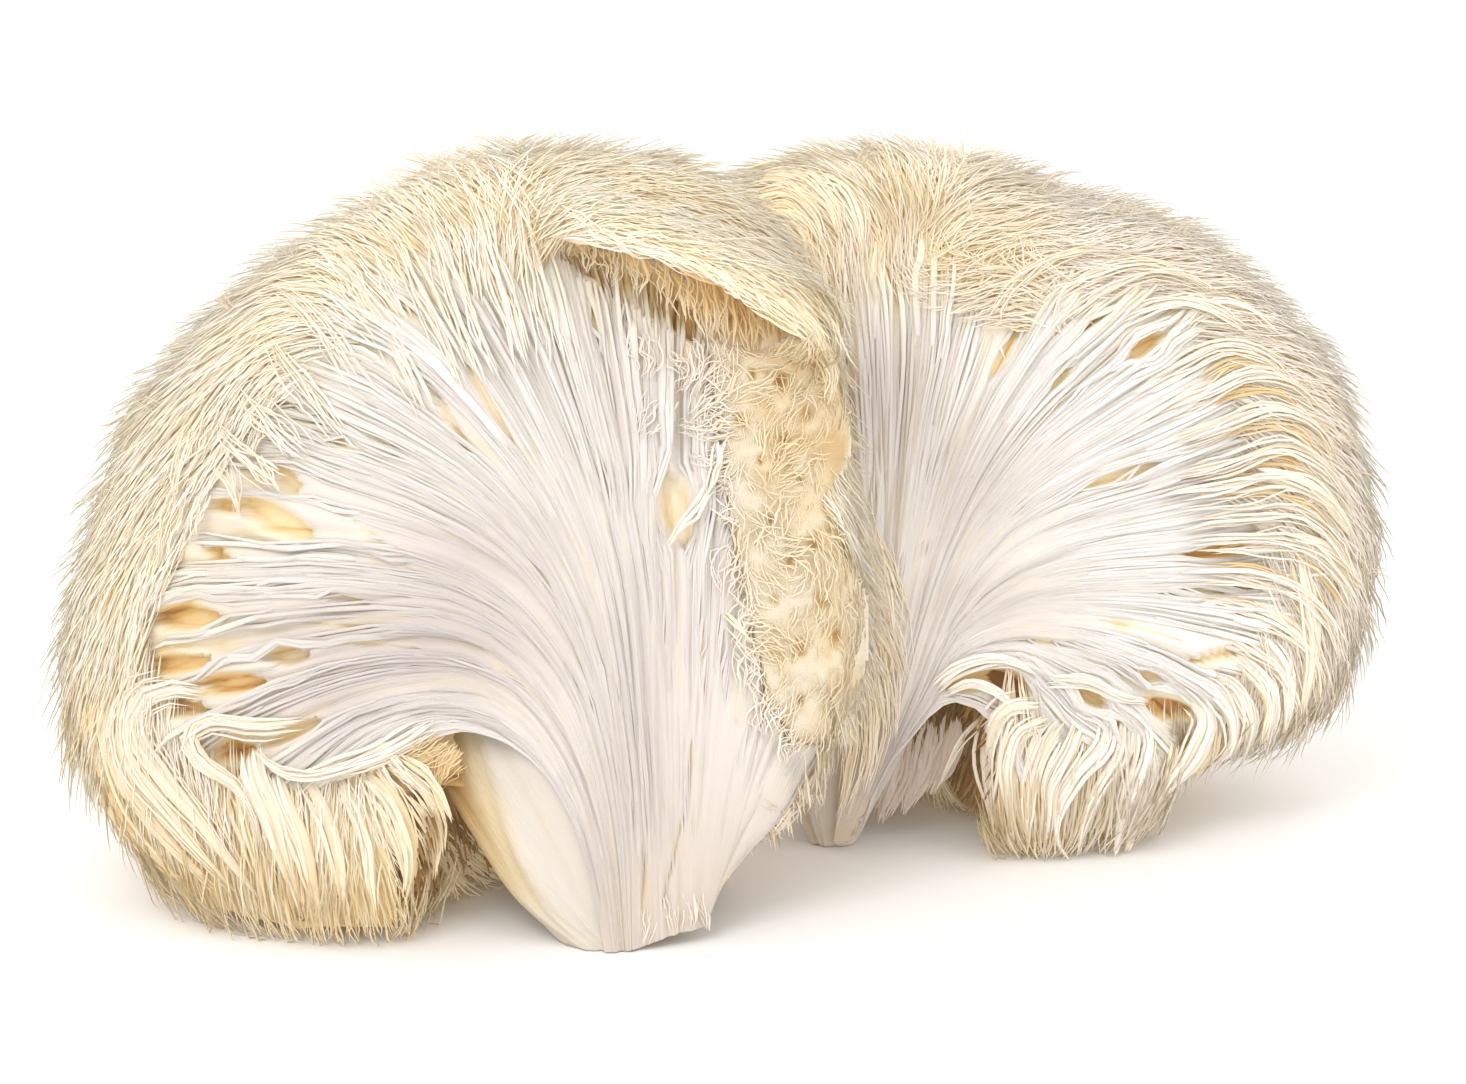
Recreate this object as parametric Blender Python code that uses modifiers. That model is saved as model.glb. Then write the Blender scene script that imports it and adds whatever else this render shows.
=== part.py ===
"""Lion's mane mushroom, torn open from its stem and laid apart in two lobes.

One fruit body that grew as one piece. Each lobe is half of a ball-shaped head:
a torn, fibrous face in front, a domed back, a skirt of hanging spines round the
bottom and a short tapered stem inside the skirt. The lobes are still joined
along the middle, behind the left lobe's right side.

Units: the tables below are in millimetres, in a frame whose zero is the point
where the left stem touches the ground: X to the right along the faces, Y away
from them, Z up. The objects are in metres.
"""

import math

import bmesh
import bpy
import numpy as np

MM = 0.001

# ---------------------------------------------------------------- dimensions

# Middle of the finished body's footprint, in the tables' frame.
ORIGIN_X = 0.5
ORIGIN_Y = 51.8

# Left lobe: outline of the face seen from the front, as (x, z), clockwise from
# the bottom. Points under z = 0 are cut off flat by the ground.
LEFT_CENTRE = (-35.0, 52.0)
LEFT_OUTLINE = (
    (-36, -26), (-56, -17), (-67, -7), (-73, 0), (-79, 4), (-84, 10), (-90, 16),
    (-93, 24), (-92, 35), (-90, 46), (-86, 57), (-79, 69), (-69, 80), (-56, 90),
    (-44, 97), (-31, 101), (-18, 101), (-4, 98), (4, 93), (10, 85), (14, 73),
    (16, 59), (17, 45), (16, 33), (13, 22), (8, 14), (2, 6), (-4, -6),
    (-16, -20),
)
LEFT_FACE_Y = 0.0  # of the face at the ground, at the stem
LEFT_LEAN = 0.25  # how far the face leans back, per height
LEFT_SWEEP = 0.0022  # how far its sides curve back, per distance squared
LEFT_RIM = 8.0  # from the face back to the widest outline
LEFT_DEPTH = 44.0  # of the domed back behind that outline
LEFT_STEM = (-17.0, 3.0)  # its axis, (x, y)

# Right lobe, behind the left one.
RIGHT_CENTRE = (50.0, 46.0)
RIGHT_OUTLINE = (
    (40, -26), (53, -14), (60, -3), (63, 6), (68, 9), (75, 11), (83, 13),
    (89, 19), (92, 28), (94, 38), (93, 47), (90, 57), (86, 65), (80, 72),
    (74, 78), (68, 82), (61, 86), (54, 88), (46, 90), (39, 93), (33, 95),
    (27, 96), (20, 96), (13, 95), (6, 94), (-1, 91), (-8, 82), (-11, 68),
    (-10, 55), (-7, 42), (-2, 28), (4, 14), (9, 0), (16, -14), (27, -24),
)
RIGHT_FACE_Y = 35.5
RIGHT_LEAN = 0.22
RIGHT_SWEEP = 0.0012
RIGHT_RIM = 8.0
RIGHT_DEPTH = 45.0
RIGHT_STEM = (14.6, 42.0)

# Hollow between each stem and its skirt, a turned groove: (radius, height)
# up the stem, and then down the inside of the skirt.
LEFT_GROOVE = (
    (4.0, -4.0), (5.0, 0.0), (10.0, 3.0), (14.5, 7.0), (18.5, 13.0), (21.5, 18.0),
    (23.5, 20.5), (25.5, 18.0), (26.5, 8.0), (28.0, -4.0),
)
RIGHT_GROOVE = (
    (2.5, -4.0), (3.5, 0.0), (6.5, 5.0), (9.5, 9.5), (13.0, 15.0), (16.0, 20.0),
    (18.5, 22.5), (21.0, 21.0), (22.0, 12.0), (23.5, -4.0),
)

# The flap of spines that overhangs the left face at its top right corner.
FLAP_CENTRE = (-4.0, 22.5, 87.0)
FLAP_HALF = (21.5, 9.5, 6.5)
FLAP_TURN = math.radians(26)  # its right end is the lower one

# The seam where the two lobes still hold together, low in the middle.
SEAM_CENTRE = (9.0, 33.0, 38.0)
SEAM_HALF = (9.5, 19.0, 24.0)

FURROWS = 15  # long furrows in each torn face, running out from the stem
FURROW_DEPTH = 1.5
LUMP_SIZE = 17.0  # of the soft lumps that the spines lie in
LUMP_HEIGHT = 2.4

VOXEL = 1.7
KEEP_FACES = 0.17  # share of the faces that the final mesh keeps

SKIN_COLOUR = (0.87, 0.78, 0.60, 1.0)


# ------------------------------------------------------------------- helpers

def new_collection(name):
    made = bpy.data.collections.new(name)
    bpy.context.scene.collection.children.link(made)
    return made


def object_of(bm, name, collection):
    mesh = bpy.data.meshes.new(name)
    bm.to_mesh(mesh)
    bm.free()
    made = bpy.data.objects.new(name, mesh)
    collection.objects.link(made)
    made.parent = ground
    return made


def as_helper(made):
    made.hide_render = True
    made.display_type = "WIRE"
    return made


def reach_of(outline, centre):
    """The outline's distance from the centre in each direction, as a smooth periodic function."""
    x, z = (np.array(column, float) for column in zip(*outline))
    turn = np.arctan2(z - centre[1], x - centre[0])
    reach = np.hypot(x - centre[0], z - centre[1])
    order = np.argsort(turn)
    steps = np.linspace(-math.pi, math.pi, 361)[:-1]
    table = np.interp(steps, turn[order], reach[order], period=2 * math.pi)
    soft = np.exp(-0.5 * (np.arange(-12, 13) / 4.0) ** 2)
    table = np.convolve(np.concatenate([table[-12:], table, table[:12]]), soft / soft.sum(), "valid")
    return lambda angle: np.interp(angle, steps, table, period=2 * math.pi)


def lobe(name, collection, outline, centre, face_y, lean, sweep, rim, depth, stem):
    """Half a ball: a unit sphere with its poles to the front and the back, its waist drawn out to the outline, its front pressed to the torn face."""
    bm = bmesh.new()
    bmesh.ops.create_uvsphere(bm, u_segments=144, v_segments=72, radius=1.0)
    reach = reach_of(outline, centre)
    for v in bm.verts:
        side, front, up = v.co.x, -v.co.z, v.co.y
        out = min(1.0, math.hypot(side, up))
        angle = math.atan2(up, side)
        far = float(reach(angle)) * out
        x = centre[0] + far * math.cos(angle)
        z = centre[1] + far * math.sin(angle)
        y = face_y + lean * z + sweep * (x - stem[0]) ** 2
        if front > 0:
            y += rim * (1 - math.sqrt(max(0.0, 1 - out**6)))
            around = math.atan2(x - stem[0], z + 12)
            fade = min(1.0, math.hypot(x - stem[0], z) / 30) * (1 - out**4)
            y += FURROW_DEPTH * math.sin(FURROWS * around + 0.8 * math.sin(z / 9)) * fade
        else:
            y += rim + depth * math.sqrt(max(0.0, 1 - out**2.5))
        v.co = (x * MM, y * MM, z * MM)
    bmesh.ops.recalc_face_normals(bm, faces=bm.faces)
    return object_of(bm, name, collection)


def groove(name, collection, profile, stem):
    """A ring cut round a stem: the closed profile turned once about the stem's axis."""
    bm = bmesh.new()
    corners = [bm.verts.new((radius * MM, 0.0, height * MM)) for radius, height in profile]
    for i, corner in enumerate(corners):
        bm.edges.new((corner, corners[(i + 1) % len(corners)]))
    made = as_helper(object_of(bm, name, collection))
    made.location = (stem[0] * MM, stem[1] * MM, 0.0)
    turned = made.modifiers.new("Turn", "SCREW")
    turned.steps = turned.render_steps = 64
    turned.use_merge_vertices = True
    turned.merge_threshold = 0.00001
    turned.use_normal_calculate = True
    turned.use_normal_flip = True
    return made


def egg(name, collection, centre, half, turn=0.0):
    bm = bmesh.new()
    bmesh.ops.create_uvsphere(bm, u_segments=48, v_segments=24, radius=1.0)
    for v in bm.verts:
        v.co = (v.co.x * half[0] * MM, v.co.y * half[1] * MM, v.co.z * half[2] * MM)
    made = as_helper(object_of(bm, name, collection))
    made.location = tuple(c * MM for c in centre)
    made.rotation_euler = (0.0, turn, 0.0)
    return made


def cut_or_join(made, operation, other):
    step = made.modifiers.new(f"{operation.title()} {other.name}", "BOOLEAN")
    step.operation = operation
    step.solver = "EXACT"
    step.object = other


# --------------------------------------------------------------------- model

for old in list(bpy.data.objects):
    bpy.data.objects.remove(old, do_unlink=True)

mushroom = new_collection("lions_mane_mushroom")
shapes = new_collection("shapes_and_cutters")

# The whole body hangs from this point, so that the middle of its footprint is the origin.
ground = bpy.data.objects.new("ground_point", None)
ground.location = (-ORIGIN_X * MM, -ORIGIN_Y * MM, 0.0)
mushroom.objects.link(ground)

body = lobe(
    "fruit_body", mushroom, LEFT_OUTLINE, LEFT_CENTRE, LEFT_FACE_Y, LEFT_LEAN,
    LEFT_SWEEP, LEFT_RIM, LEFT_DEPTH, LEFT_STEM,
)
right = as_helper(lobe(
    "right_lobe", shapes, RIGHT_OUTLINE, RIGHT_CENTRE, RIGHT_FACE_Y, RIGHT_LEAN,
    RIGHT_SWEEP, RIGHT_RIM, RIGHT_DEPTH, RIGHT_STEM,
))
flap = egg("flap", shapes, FLAP_CENTRE, FLAP_HALF, FLAP_TURN)
seam = egg("seam", shapes, SEAM_CENTRE, SEAM_HALF)
left_groove = groove("left_groove", shapes, LEFT_GROOVE, LEFT_STEM)
right_groove = groove("right_groove", shapes, RIGHT_GROOVE, RIGHT_STEM)

cut_or_join(body, "UNION", flap)
cut_or_join(body, "UNION", seam)
cut_or_join(body, "UNION", right)
cut_or_join(body, "DIFFERENCE", left_groove)
cut_or_join(body, "DIFFERENCE", right_groove)

# One even skin over the joined shapes, softened, with the lumps of the fur in it.
skin = body.modifiers.new("Skin", "REMESH")
skin.mode = "VOXEL"
skin.voxel_size = VOXEL * MM
soften = body.modifiers.new("Soften", "SMOOTH")
soften.factor = 0.5
soften.iterations = 4
lumps = bpy.data.textures.new("lumps", "CLOUDS")
lumps.noise_scale = LUMP_SIZE * MM
lumps.noise_depth = 1
lumpy = body.modifiers.new("Lumps", "DISPLACE")
lumpy.texture = lumps
lumpy.texture_coords = "LOCAL"
lumpy.strength = LUMP_HEIGHT * MM
lumpy.mid_level = 0.5
fewer = body.modifiers.new("Fewer faces", "DECIMATE")
fewer.decimate_type = "COLLAPSE"
fewer.ratio = KEEP_FACES

# Everything under the ground plane is cut away flat.
bm = bmesh.new()
bmesh.ops.create_cube(bm, size=1.0)
for v in bm.verts:
    v.co = (v.co.x * 0.4, v.co.y * 0.4 + ORIGIN_Y * MM, (v.co.z - 0.5) * 0.1)
below = as_helper(object_of(bm, "below_ground", shapes))
cut_or_join(body, "DIFFERENCE", below)

flesh = bpy.data.materials.new("spines_and_flesh")
flesh.use_nodes = True
surface = flesh.node_tree.nodes["Principled BSDF"]
surface.inputs["Base Color"].default_value = SKIN_COLOUR
surface.inputs["Roughness"].default_value = 0.85
surface.inputs["Metallic"].default_value = 0.0
flesh.diffuse_color = SKIN_COLOUR
body.data.materials.append(flesh)
body.data.shade_smooth()
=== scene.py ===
"""Lion's mane mushroom, torn open from its stem and laid apart in two lobes: the looks.

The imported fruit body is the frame. Around it this script makes the torn flesh
with its fibres, the coat of spines, the stems' skin and the soft core under them.

Tables are in millimetres, in a frame whose zero is the point where the left
stem touches the ground: X right, Y away, Z up. PX tables are places in the
picture, 1466 wide and 1084 high, read off it; they are carried onto the torn
faces, which lean and curve as the solid's do.
"""

import math
import time

import bpy
import numpy as np
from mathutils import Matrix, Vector
from mathutils.bvhtree import BVHTree


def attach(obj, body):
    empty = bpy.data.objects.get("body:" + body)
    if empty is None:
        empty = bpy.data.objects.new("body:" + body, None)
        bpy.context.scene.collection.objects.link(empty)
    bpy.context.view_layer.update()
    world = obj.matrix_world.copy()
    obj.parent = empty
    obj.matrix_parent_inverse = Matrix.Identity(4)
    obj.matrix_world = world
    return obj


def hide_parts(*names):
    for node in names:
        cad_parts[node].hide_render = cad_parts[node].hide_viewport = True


began = time.time()
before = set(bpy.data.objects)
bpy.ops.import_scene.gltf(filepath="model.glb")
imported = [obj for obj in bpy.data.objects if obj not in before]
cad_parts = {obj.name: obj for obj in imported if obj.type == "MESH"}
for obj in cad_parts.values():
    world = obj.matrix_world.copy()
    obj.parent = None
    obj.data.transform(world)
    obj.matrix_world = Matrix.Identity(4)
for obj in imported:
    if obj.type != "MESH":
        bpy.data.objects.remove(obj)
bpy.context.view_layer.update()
scene = bpy.context.scene

# ------------------------------------------------------------------- the view

MM = 0.001
SHIFT = np.array([0.5, 51.8, 0.0])  # from the tables' frame to the part's
WIDE, HIGH, FOCAL = 1466, 1084, 3650.0  # pixels
TILT = math.radians(16)
AHEAD = np.array([0.0, math.cos(TILT), -math.sin(TILT)])
ABOVE = np.array([0.0, math.sin(TILT), math.cos(TILT)])
EYE = np.array([0.0, 30.0, 48.7]) - 500.0 * AHEAD


def to_part(points):
    return (np.asarray(points, float) - SHIFT) * MM


def unproject(px, py, y):
    px, py, y = (np.asarray(a, float) for a in (px, py, y))
    way = (
        AHEAD
        + ((px - WIDE / 2) / FOCAL)[..., None] * np.array([1.0, 0, 0])
        + ((HIGH / 2 - py) / FOCAL)[..., None] * ABOVE
    )
    return EYE + way * ((y - EYE[1]) / way[..., 1])[..., None]


def project(points):
    v = np.asarray(points, float) - EYE
    far = v @ AHEAD
    return WIDE / 2 + FOCAL * v[..., 0] / far, HIGH / 2 - FOCAL * (v @ ABOVE) / far


camera_data = bpy.data.cameras.new("photo_camera")
camera_data.sensor_fit = "HORIZONTAL"
camera_data.sensor_width = 36.0
camera_data.lens = FOCAL / WIDE * 36.0
camera_data.clip_end = 20.0
camera = bpy.data.objects.new("photo_camera", camera_data)
camera.location = Vector(to_part(EYE))
camera.rotation_euler = (math.radians(90) - TILT, 0.0, 0.0)
scene.collection.objects.link(camera)
scene.camera = camera
scene.view_settings.view_transform = "Standard"

# ------------------------------------------------------------- outlines and faces

LEFT_CENTRE = (-35.0, 52.0)
LEFT_OUTLINE = (
    (-36, -26), (-56, -17), (-67, -7), (-73, 0), (-79, 4), (-84, 10), (-90, 16),
    (-93, 24), (-92, 35), (-90, 46), (-86, 57), (-79, 69), (-69, 80), (-56, 90),
    (-44, 97), (-31, 101), (-18, 101), (-4, 98), (4, 93), (10, 85), (14, 73),
    (16, 59), (17, 45), (16, 33), (13, 22), (8, 14), (2, 6), (-4, -6),
    (-16, -20),
)
RIGHT_CENTRE = (50.0, 46.0)
RIGHT_OUTLINE = (
    (40, -26), (53, -14), (60, -3), (63, 6), (68, 9), (75, 11), (83, 13),
    (89, 19), (92, 28), (94, 38), (93, 47), (90, 57), (86, 65), (80, 72),
    (74, 78), (68, 82), (61, 86), (54, 88), (46, 90), (39, 93), (33, 95),
    (27, 96), (20, 96), (13, 95), (6, 94), (-1, 91), (-8, 82), (-11, 68),
    (-10, 55), (-7, 42), (-2, 28), (4, 14), (9, 0), (16, -14), (27, -24),
)
LEFT_STEM = (-17.0, 3.0)
RIGHT_STEM = (14.6, 42.0)
LEFT_STEM_SIDE = ((4.0, 0.0), (5.0, 0.3), (10.0, 3.0), (14.5, 7.0), (18.5, 13.0), (21.5, 18.0), (23.5, 20.5))
RIGHT_STEM_SIDE = ((3.0, 0.0), (3.6, 0.3), (6.5, 5.0), (9.5, 9.5), (13.0, 15.0), (16.0, 20.0), (18.5, 22.5))


def reach_of(outline, centre):
    x, z = (np.array(column, float) for column in zip(*outline))
    turn = np.arctan2(z - centre[1], x - centre[0])
    reach = np.hypot(x - centre[0], z - centre[1])
    order = np.argsort(turn)
    steps = np.linspace(-math.pi, math.pi, 361)[:-1]
    table = np.interp(steps, turn[order], reach[order], period=2 * math.pi)
    soft = np.exp(-0.5 * (np.arange(-12, 13) / 4.0) ** 2)
    table = np.convolve(np.concatenate([table[-12:], table, table[:12]]), soft / soft.sum(), "valid")
    return lambda angle: np.interp(angle, steps, table, period=2 * math.pi)


left_reach = reach_of(LEFT_OUTLINE, LEFT_CENTRE)
right_reach = reach_of(RIGHT_OUTLINE, RIGHT_CENTRE)


def face(x, z, centre, reach, front, lean, sweep, stem_x, rim=8.0):
    out = np.hypot(x - centre[0], z - centre[1]) / reach(np.arctan2(z - centre[1], x - centre[0]))
    flat = front + lean * z + sweep * (x - stem_x) ** 2
    return flat + rim * np.clip(out, 0, 1.15) ** 8


def left_face(x, z):
    return face(x, z, LEFT_CENTRE, left_reach, 0.0, 0.25, 0.0022, -17.0)


def right_face(x, z):
    return face(x, z, RIGHT_CENTRE, right_reach, 35.5, 0.22, 0.0012, 14.6)


def on_face(px, py, depth):
    """The point of a torn face that shows at this place in the picture."""
    y = np.full(np.shape(px), 12.0)
    for _ in range(14):
        p = unproject(px, py, y)
        y = 0.45 * y + 0.55 * depth(p[..., 0], p[..., 2])
    return unproject(px, py, y)


def smooth(low, high, x):
    t = np.clip((x - low) / (high - low), 0, 1)
    return t * t * (3 - 2 * t)


def unit(v):
    return v / np.maximum(np.linalg.norm(v, axis=-1, keepdims=True), 1e-9)


def inside(polygon, x, y):
    x, y = np.asarray(x, float), np.asarray(y, float)
    found = np.zeros(x.shape, bool)
    corners = np.array(polygon, float)
    for (ax, ay), (bx, by) in zip(corners, np.roll(corners, -1, axis=0)):
        if ay == by:
            continue
        crosses = (ay > y) != (by > y)
        found ^= crosses & (x < (bx - ax) * (y - ay) / (by - ay) + ax)
    return found


def curve(points, n):
    """n points spaced evenly on a smooth curve through the given ones."""
    p = np.asarray(points, float)
    d = np.r_[0, np.cumsum(np.linalg.norm(np.diff(p, axis=0), axis=1))]
    m = np.gradient(p, d, axis=0)
    t = np.linspace(0, d[-1], n)
    i = np.clip(np.searchsorted(d, t, side="right") - 1, 0, len(d) - 2)
    h = (d[i + 1] - d[i])[:, None]
    u = (t - d[i])[:, None] / h
    return (
        (2 * u**3 - 3 * u**2 + 1) * p[i]
        + (u**3 - 2 * u**2 + u) * h * m[i]
        + (3 * u**2 - 2 * u**3) * p[i + 1]
        + (u**3 - u**2) * h * m[i + 1]
    )


def noise1(x, seed):
    """Smooth noise of one number, from -1 to 1."""
    table = np.random.default_rng(seed).uniform(-1, 1, 4096)
    i = np.floor(x).astype(int)
    t = smooth(0, 1, x - i)
    return table[i % 4096] * (1 - t) + table[(i + 1) % 4096] * t


def noise2(x, y, seed):
    table = np.random.default_rng(seed).uniform(-1, 1, (256, 256))
    i, j = np.floor(x).astype(int), np.floor(y).astype(int)
    u, v = smooth(0, 1, x - i), smooth(0, 1, y - j)
    i, j, k, l = i % 256, j % 256, (i + 1) % 256, (j + 1) % 256
    return (table[i, j] * (1 - u) + table[k, j] * u) * (1 - v) + (table[i, l] * (1 - u) + table[k, l] * u) * v


# --------------------------------------------------------------------- meshes

made_triangles = {}


def mesh_object(name, points, quads, triangles, maps, material, normals=None):
    """A piece from arrays. maps holds each UV map's name and its place for each vertex."""
    mesh = bpy.data.meshes.new(name)
    quads = np.asarray(quads, np.int64).reshape(-1, 4)
    triangles = np.asarray(triangles, np.int64).reshape(-1, 3)
    mesh.vertices.add(len(points))
    mesh.vertices.foreach_set("co", to_part(points).astype(np.float32).ravel())
    corners = np.concatenate([quads.ravel(), triangles.ravel()]).astype(np.int32)
    mesh.loops.add(len(corners))
    mesh.loops.foreach_set("vertex_index", corners)
    starts = np.concatenate([np.arange(len(quads)) * 4, len(quads) * 4 + np.arange(len(triangles)) * 3])
    mesh.polygons.add(len(starts))
    mesh.polygons.foreach_set("loop_start", starts.astype(np.int32))
    mesh.update(calc_edges=True)
    mesh.polygons.foreach_set("use_smooth", np.ones(len(starts), bool))
    for key, places in maps.items():
        layer = mesh.uv_layers.new(name=key)
        layer.data.foreach_set("uv", np.asarray(places, np.float32)[corners].ravel())
    mesh.validate()
    if normals is not None:
        mesh.normals_split_custom_set_from_vertices(normals.astype(np.float32))
    piece = bpy.data.objects.new(name, mesh)
    scene.collection.objects.link(piece)
    mesh.materials.append(material)
    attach(piece, "root")
    made_triangles[name] = 2 * len(quads) + len(triangles)
    return piece


def tubes(paths, radii, sides, tone, shade, up, flat=1.0, soft=0.55):
    """Closed, pointed strands round paths (n, m, 3). tone and shade go in the map that colours them.

    A pale strand lets light through, so its shading normals lean to up by the share soft.
    """
    n, m, _ = paths.shape
    ahead = unit(np.gradient(paths, axis=1))
    ups = np.empty_like(paths)
    up = unit(np.broadcast_to(np.asarray(up, float), (n, 3)).copy())
    outward = up.copy()
    for j in range(m):
        up = unit(up - (up * ahead[:, j]).sum(-1, keepdims=True) * ahead[:, j])
        ups[:, j] = up
    side = np.cross(ahead, ups)
    angle = 2 * np.pi * (np.arange(sides) + 0.5) / sides
    c, d = np.cos(angle)[None, None, :, None], np.sin(angle)[None, None, :, None]
    around = c * ups[:, 1:-1, None, :] * flat + d * side[:, 1:-1, None, :]
    rings = paths[:, 1:-1, None, :] + radii[:, 1:-1, None, None] * around
    each = 2 + (m - 2) * sides
    points = np.empty((n, each, 3))
    points[:, 0], points[:, -1] = paths[:, 0], paths[:, -1]
    points[:, 1:-1] = rings.reshape(n, -1, 3)
    round_normals = c * ups[:, 1:-1, None, :] + d * side[:, 1:-1, None, :]
    normals = np.empty((n, each, 3))
    normals[:, 0], normals[:, -1] = outward, outward
    normals[:, 1:-1] = unit((1 - soft) * round_normals + soft * outward[:, None, None, :]).reshape(n, -1, 3)
    places = np.empty((n, each, 2))
    places[:, 0] = np.stack([tone[:, 0], shade[:, 0]], -1)
    places[:, -1] = np.stack([tone[:, -1], shade[:, -1]], -1)
    spread = 0.012 * (np.arange(sides) / sides - 0.5)
    places[:, 1:-1, 0] = np.repeat(tone[:, 1:-1], sides, axis=1)
    places[:, 1:-1, 1] = (shade[:, 1:-1, None] + spread).reshape(n, -1)
    k = np.arange(sides)
    k2 = (k + 1) % sides
    rows = 1 + sides * np.arange(m - 3)[:, None]
    quads = np.stack([rows + k, rows + k2, rows + sides + k2, rows + sides + k], -1).reshape(-1, 4)
    first = np.stack([np.zeros(sides, int), 1 + k2, 1 + k], -1)
    last = 1 + sides * (m - 3)
    final = np.stack([last + k, last + k2, np.full(sides, each - 1)], -1)
    base = (each * np.arange(n))[:, None, None]
    return (
        points.reshape(-1, 3),
        (base + quads).reshape(-1, 4),
        (base + np.concatenate([first, final])).reshape(-1, 3),
        np.clip(places.reshape(-1, 2), 0.001, 0.999),
        normals.reshape(-1, 3),
    )


def joined(parts):
    """Several sets of strands as one."""
    sizes = np.cumsum([0] + [len(part[0]) for part in parts])
    return (
        np.concatenate([part[0] for part in parts]),
        np.concatenate([part[1] + base for part, base in zip(parts, sizes)]),
        np.concatenate([part[2] + base for part, base in zip(parts, sizes)]),
        np.concatenate([part[3] for part in parts]),
        np.concatenate([part[4] for part in parts]),
    )


def strand_piece(name, parts, look):
    points, quads, triangles, places, normals = parts
    return mesh_object(name, points, quads, triangles, {"OFBake": places}, look, normals)


def sheet_faces(rows, columns):
    i = np.arange(rows - 1)[:, None] * columns + np.arange(columns - 1)
    return np.stack([i, i + columns, i + columns + 1, i + 1], -1).reshape(-1, 4)


# ------------------------------------------------------------------ materials


def linear(r, g, b):
    c = np.array([r, g, b]) / 255.0
    c = np.where(c <= 0.04045, c / 12.92, ((c + 0.055) / 1.055) ** 2.4)
    return (*c, 1.0)


TONES = (  # from the torn flesh's white to the brown painted as shade at the bottom of the deepest gap
    (0.00, linear(247, 242, 238)),
    (0.15, linear(252, 245, 233)),
    (0.32, linear(255, 244, 217)),
    (0.50, linear(251, 229, 184)),
    (0.68, linear(235, 195, 130)),
    (0.84, linear(206, 154, 88)),
    (1.00, linear(136, 84, 38)),
)
# Painted light and shade: brightness from violet-grey in deep shade to full white.
SHADES = (
    (0.00, linear(160, 150, 156)),
    (0.30, linear(196, 187, 190)),
    (0.60, linear(224, 218, 216)),
    (0.80, linear(238, 234, 231)),
    (1.00, linear(255, 255, 255)),
)


def ramp(tree, stops, dim=1.0):
    stops = [(place, (*(dim * c for c in colour[:3]), 1.0)) for place, colour in stops]
    node = tree.nodes.new("ShaderNodeValToRGB")
    line = node.color_ramp
    line.elements[0].position, line.elements[0].color = stops[0]
    line.elements[1].position, line.elements[1].color = stops[-1]
    for place, colour in stops[1:-1]:
        line.elements.new(place).color = colour
    return node


def material(name, tone_map, rough=(0.55, 0.85), grain=None, grain_map=None, bump=0.2, scatter=0.25, mottle=0.0, reach=0.002, dim=1.0, painted_glow=0.0):
    made = bpy.data.materials.new(name)
    made.use_nodes = True
    tree = made.node_tree
    link = tree.links.new
    shader = tree.nodes["Principled BSDF"]
    place = tree.nodes.new("ShaderNodeUVMap")
    place.uv_map = tone_map
    parts = tree.nodes.new("ShaderNodeSeparateXYZ")
    link(place.outputs["UV"], parts.inputs[0])
    tones, shades = ramp(tree, TONES), ramp(tree, SHADES, dim)
    tone_in = parts.outputs["X"]
    solid = tree.nodes.new("ShaderNodeTexCoord")
    if mottle:
        spots = tree.nodes.new("ShaderNodeTexNoise")
        spots.inputs["Scale"].default_value = 260.0
        spots.inputs["Detail"].default_value = 3.0
        link(solid.outputs["Object"], spots.inputs["Vector"])
        moved = tree.nodes.new("ShaderNodeMath")
        moved.operation = "MULTIPLY_ADD"
        link(spots.outputs["Fac"], moved.inputs[0])
        moved.inputs[1].default_value = mottle
        moved.inputs[2].default_value = -mottle / 2
        added = tree.nodes.new("ShaderNodeMath")
        added.operation = "ADD"
        link(tone_in, added.inputs[0])
        link(moved.outputs[0], added.inputs[1])
        tone_in = added.outputs[0]
    link(tone_in, tones.inputs[0])
    link(parts.outputs["Y"], shades.inputs[0])
    mixed = tree.nodes.new("ShaderNodeMix")
    mixed.data_type = "RGBA"
    mixed.blend_type = "MULTIPLY"
    mixed.inputs["Factor"].default_value = 1.0
    link(tones.outputs["Color"], mixed.inputs["A"])
    link(shades.outputs["Color"], mixed.inputs["B"])
    link(mixed.outputs["Result"], shader.inputs["Base Color"])
    roughness = tree.nodes.new("ShaderNodeMapRange")
    link(parts.outputs["Y"], roughness.inputs["Value"])
    roughness.inputs["To Min"].default_value = rough[1]
    roughness.inputs["To Max"].default_value = rough[0]
    link(roughness.outputs["Result"], shader.inputs["Roughness"])
    if grain:
        where = tree.nodes.new("ShaderNodeMapping")
        if grain_map:
            source = tree.nodes.new("ShaderNodeUVMap")
            source.uv_map = grain_map
            link(source.outputs["UV"], where.inputs["Vector"])
        else:
            link(solid.outputs["Object"], where.inputs["Vector"])
        where.inputs["Scale"].default_value = grain
        lines = tree.nodes.new("ShaderNodeTexNoise")
        lines.inputs["Scale"].default_value = 1.0
        lines.inputs["Detail"].default_value = 4.0
        lines.inputs["Roughness"].default_value = 0.6
        link(where.outputs["Vector"], lines.inputs["Vector"])
        relief = tree.nodes.new("ShaderNodeBump")
        relief.inputs["Strength"].default_value = bump
        relief.inputs["Distance"].default_value = 0.0004
        link(lines.outputs["Fac"], relief.inputs["Height"])
        link(relief.outputs["Normal"], shader.inputs["Normal"])
    shader.inputs["Specular IOR Level"].default_value = 0.25
    shader.inputs["Subsurface Weight"].default_value = scatter
    shader.inputs["Subsurface Radius"].default_value = (1.0, 0.62, 0.32)
    shader.inputs["Subsurface Scale"].default_value = reach
    # Painted light: a faint, even emission on every look stands for what thin spines and flesh pass on to one another.
    shader.inputs["Emission Color"].default_value = linear(255, 222, 166)
    shader.inputs["Emission Strength"].default_value = painted_glow
    shader.inputs["Sheen Weight"].default_value = 0.12
    shader.inputs["Sheen Roughness"].default_value = 0.5
    shader.inputs["Sheen Tint"].default_value = linear(255, 248, 232)
    return made


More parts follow.
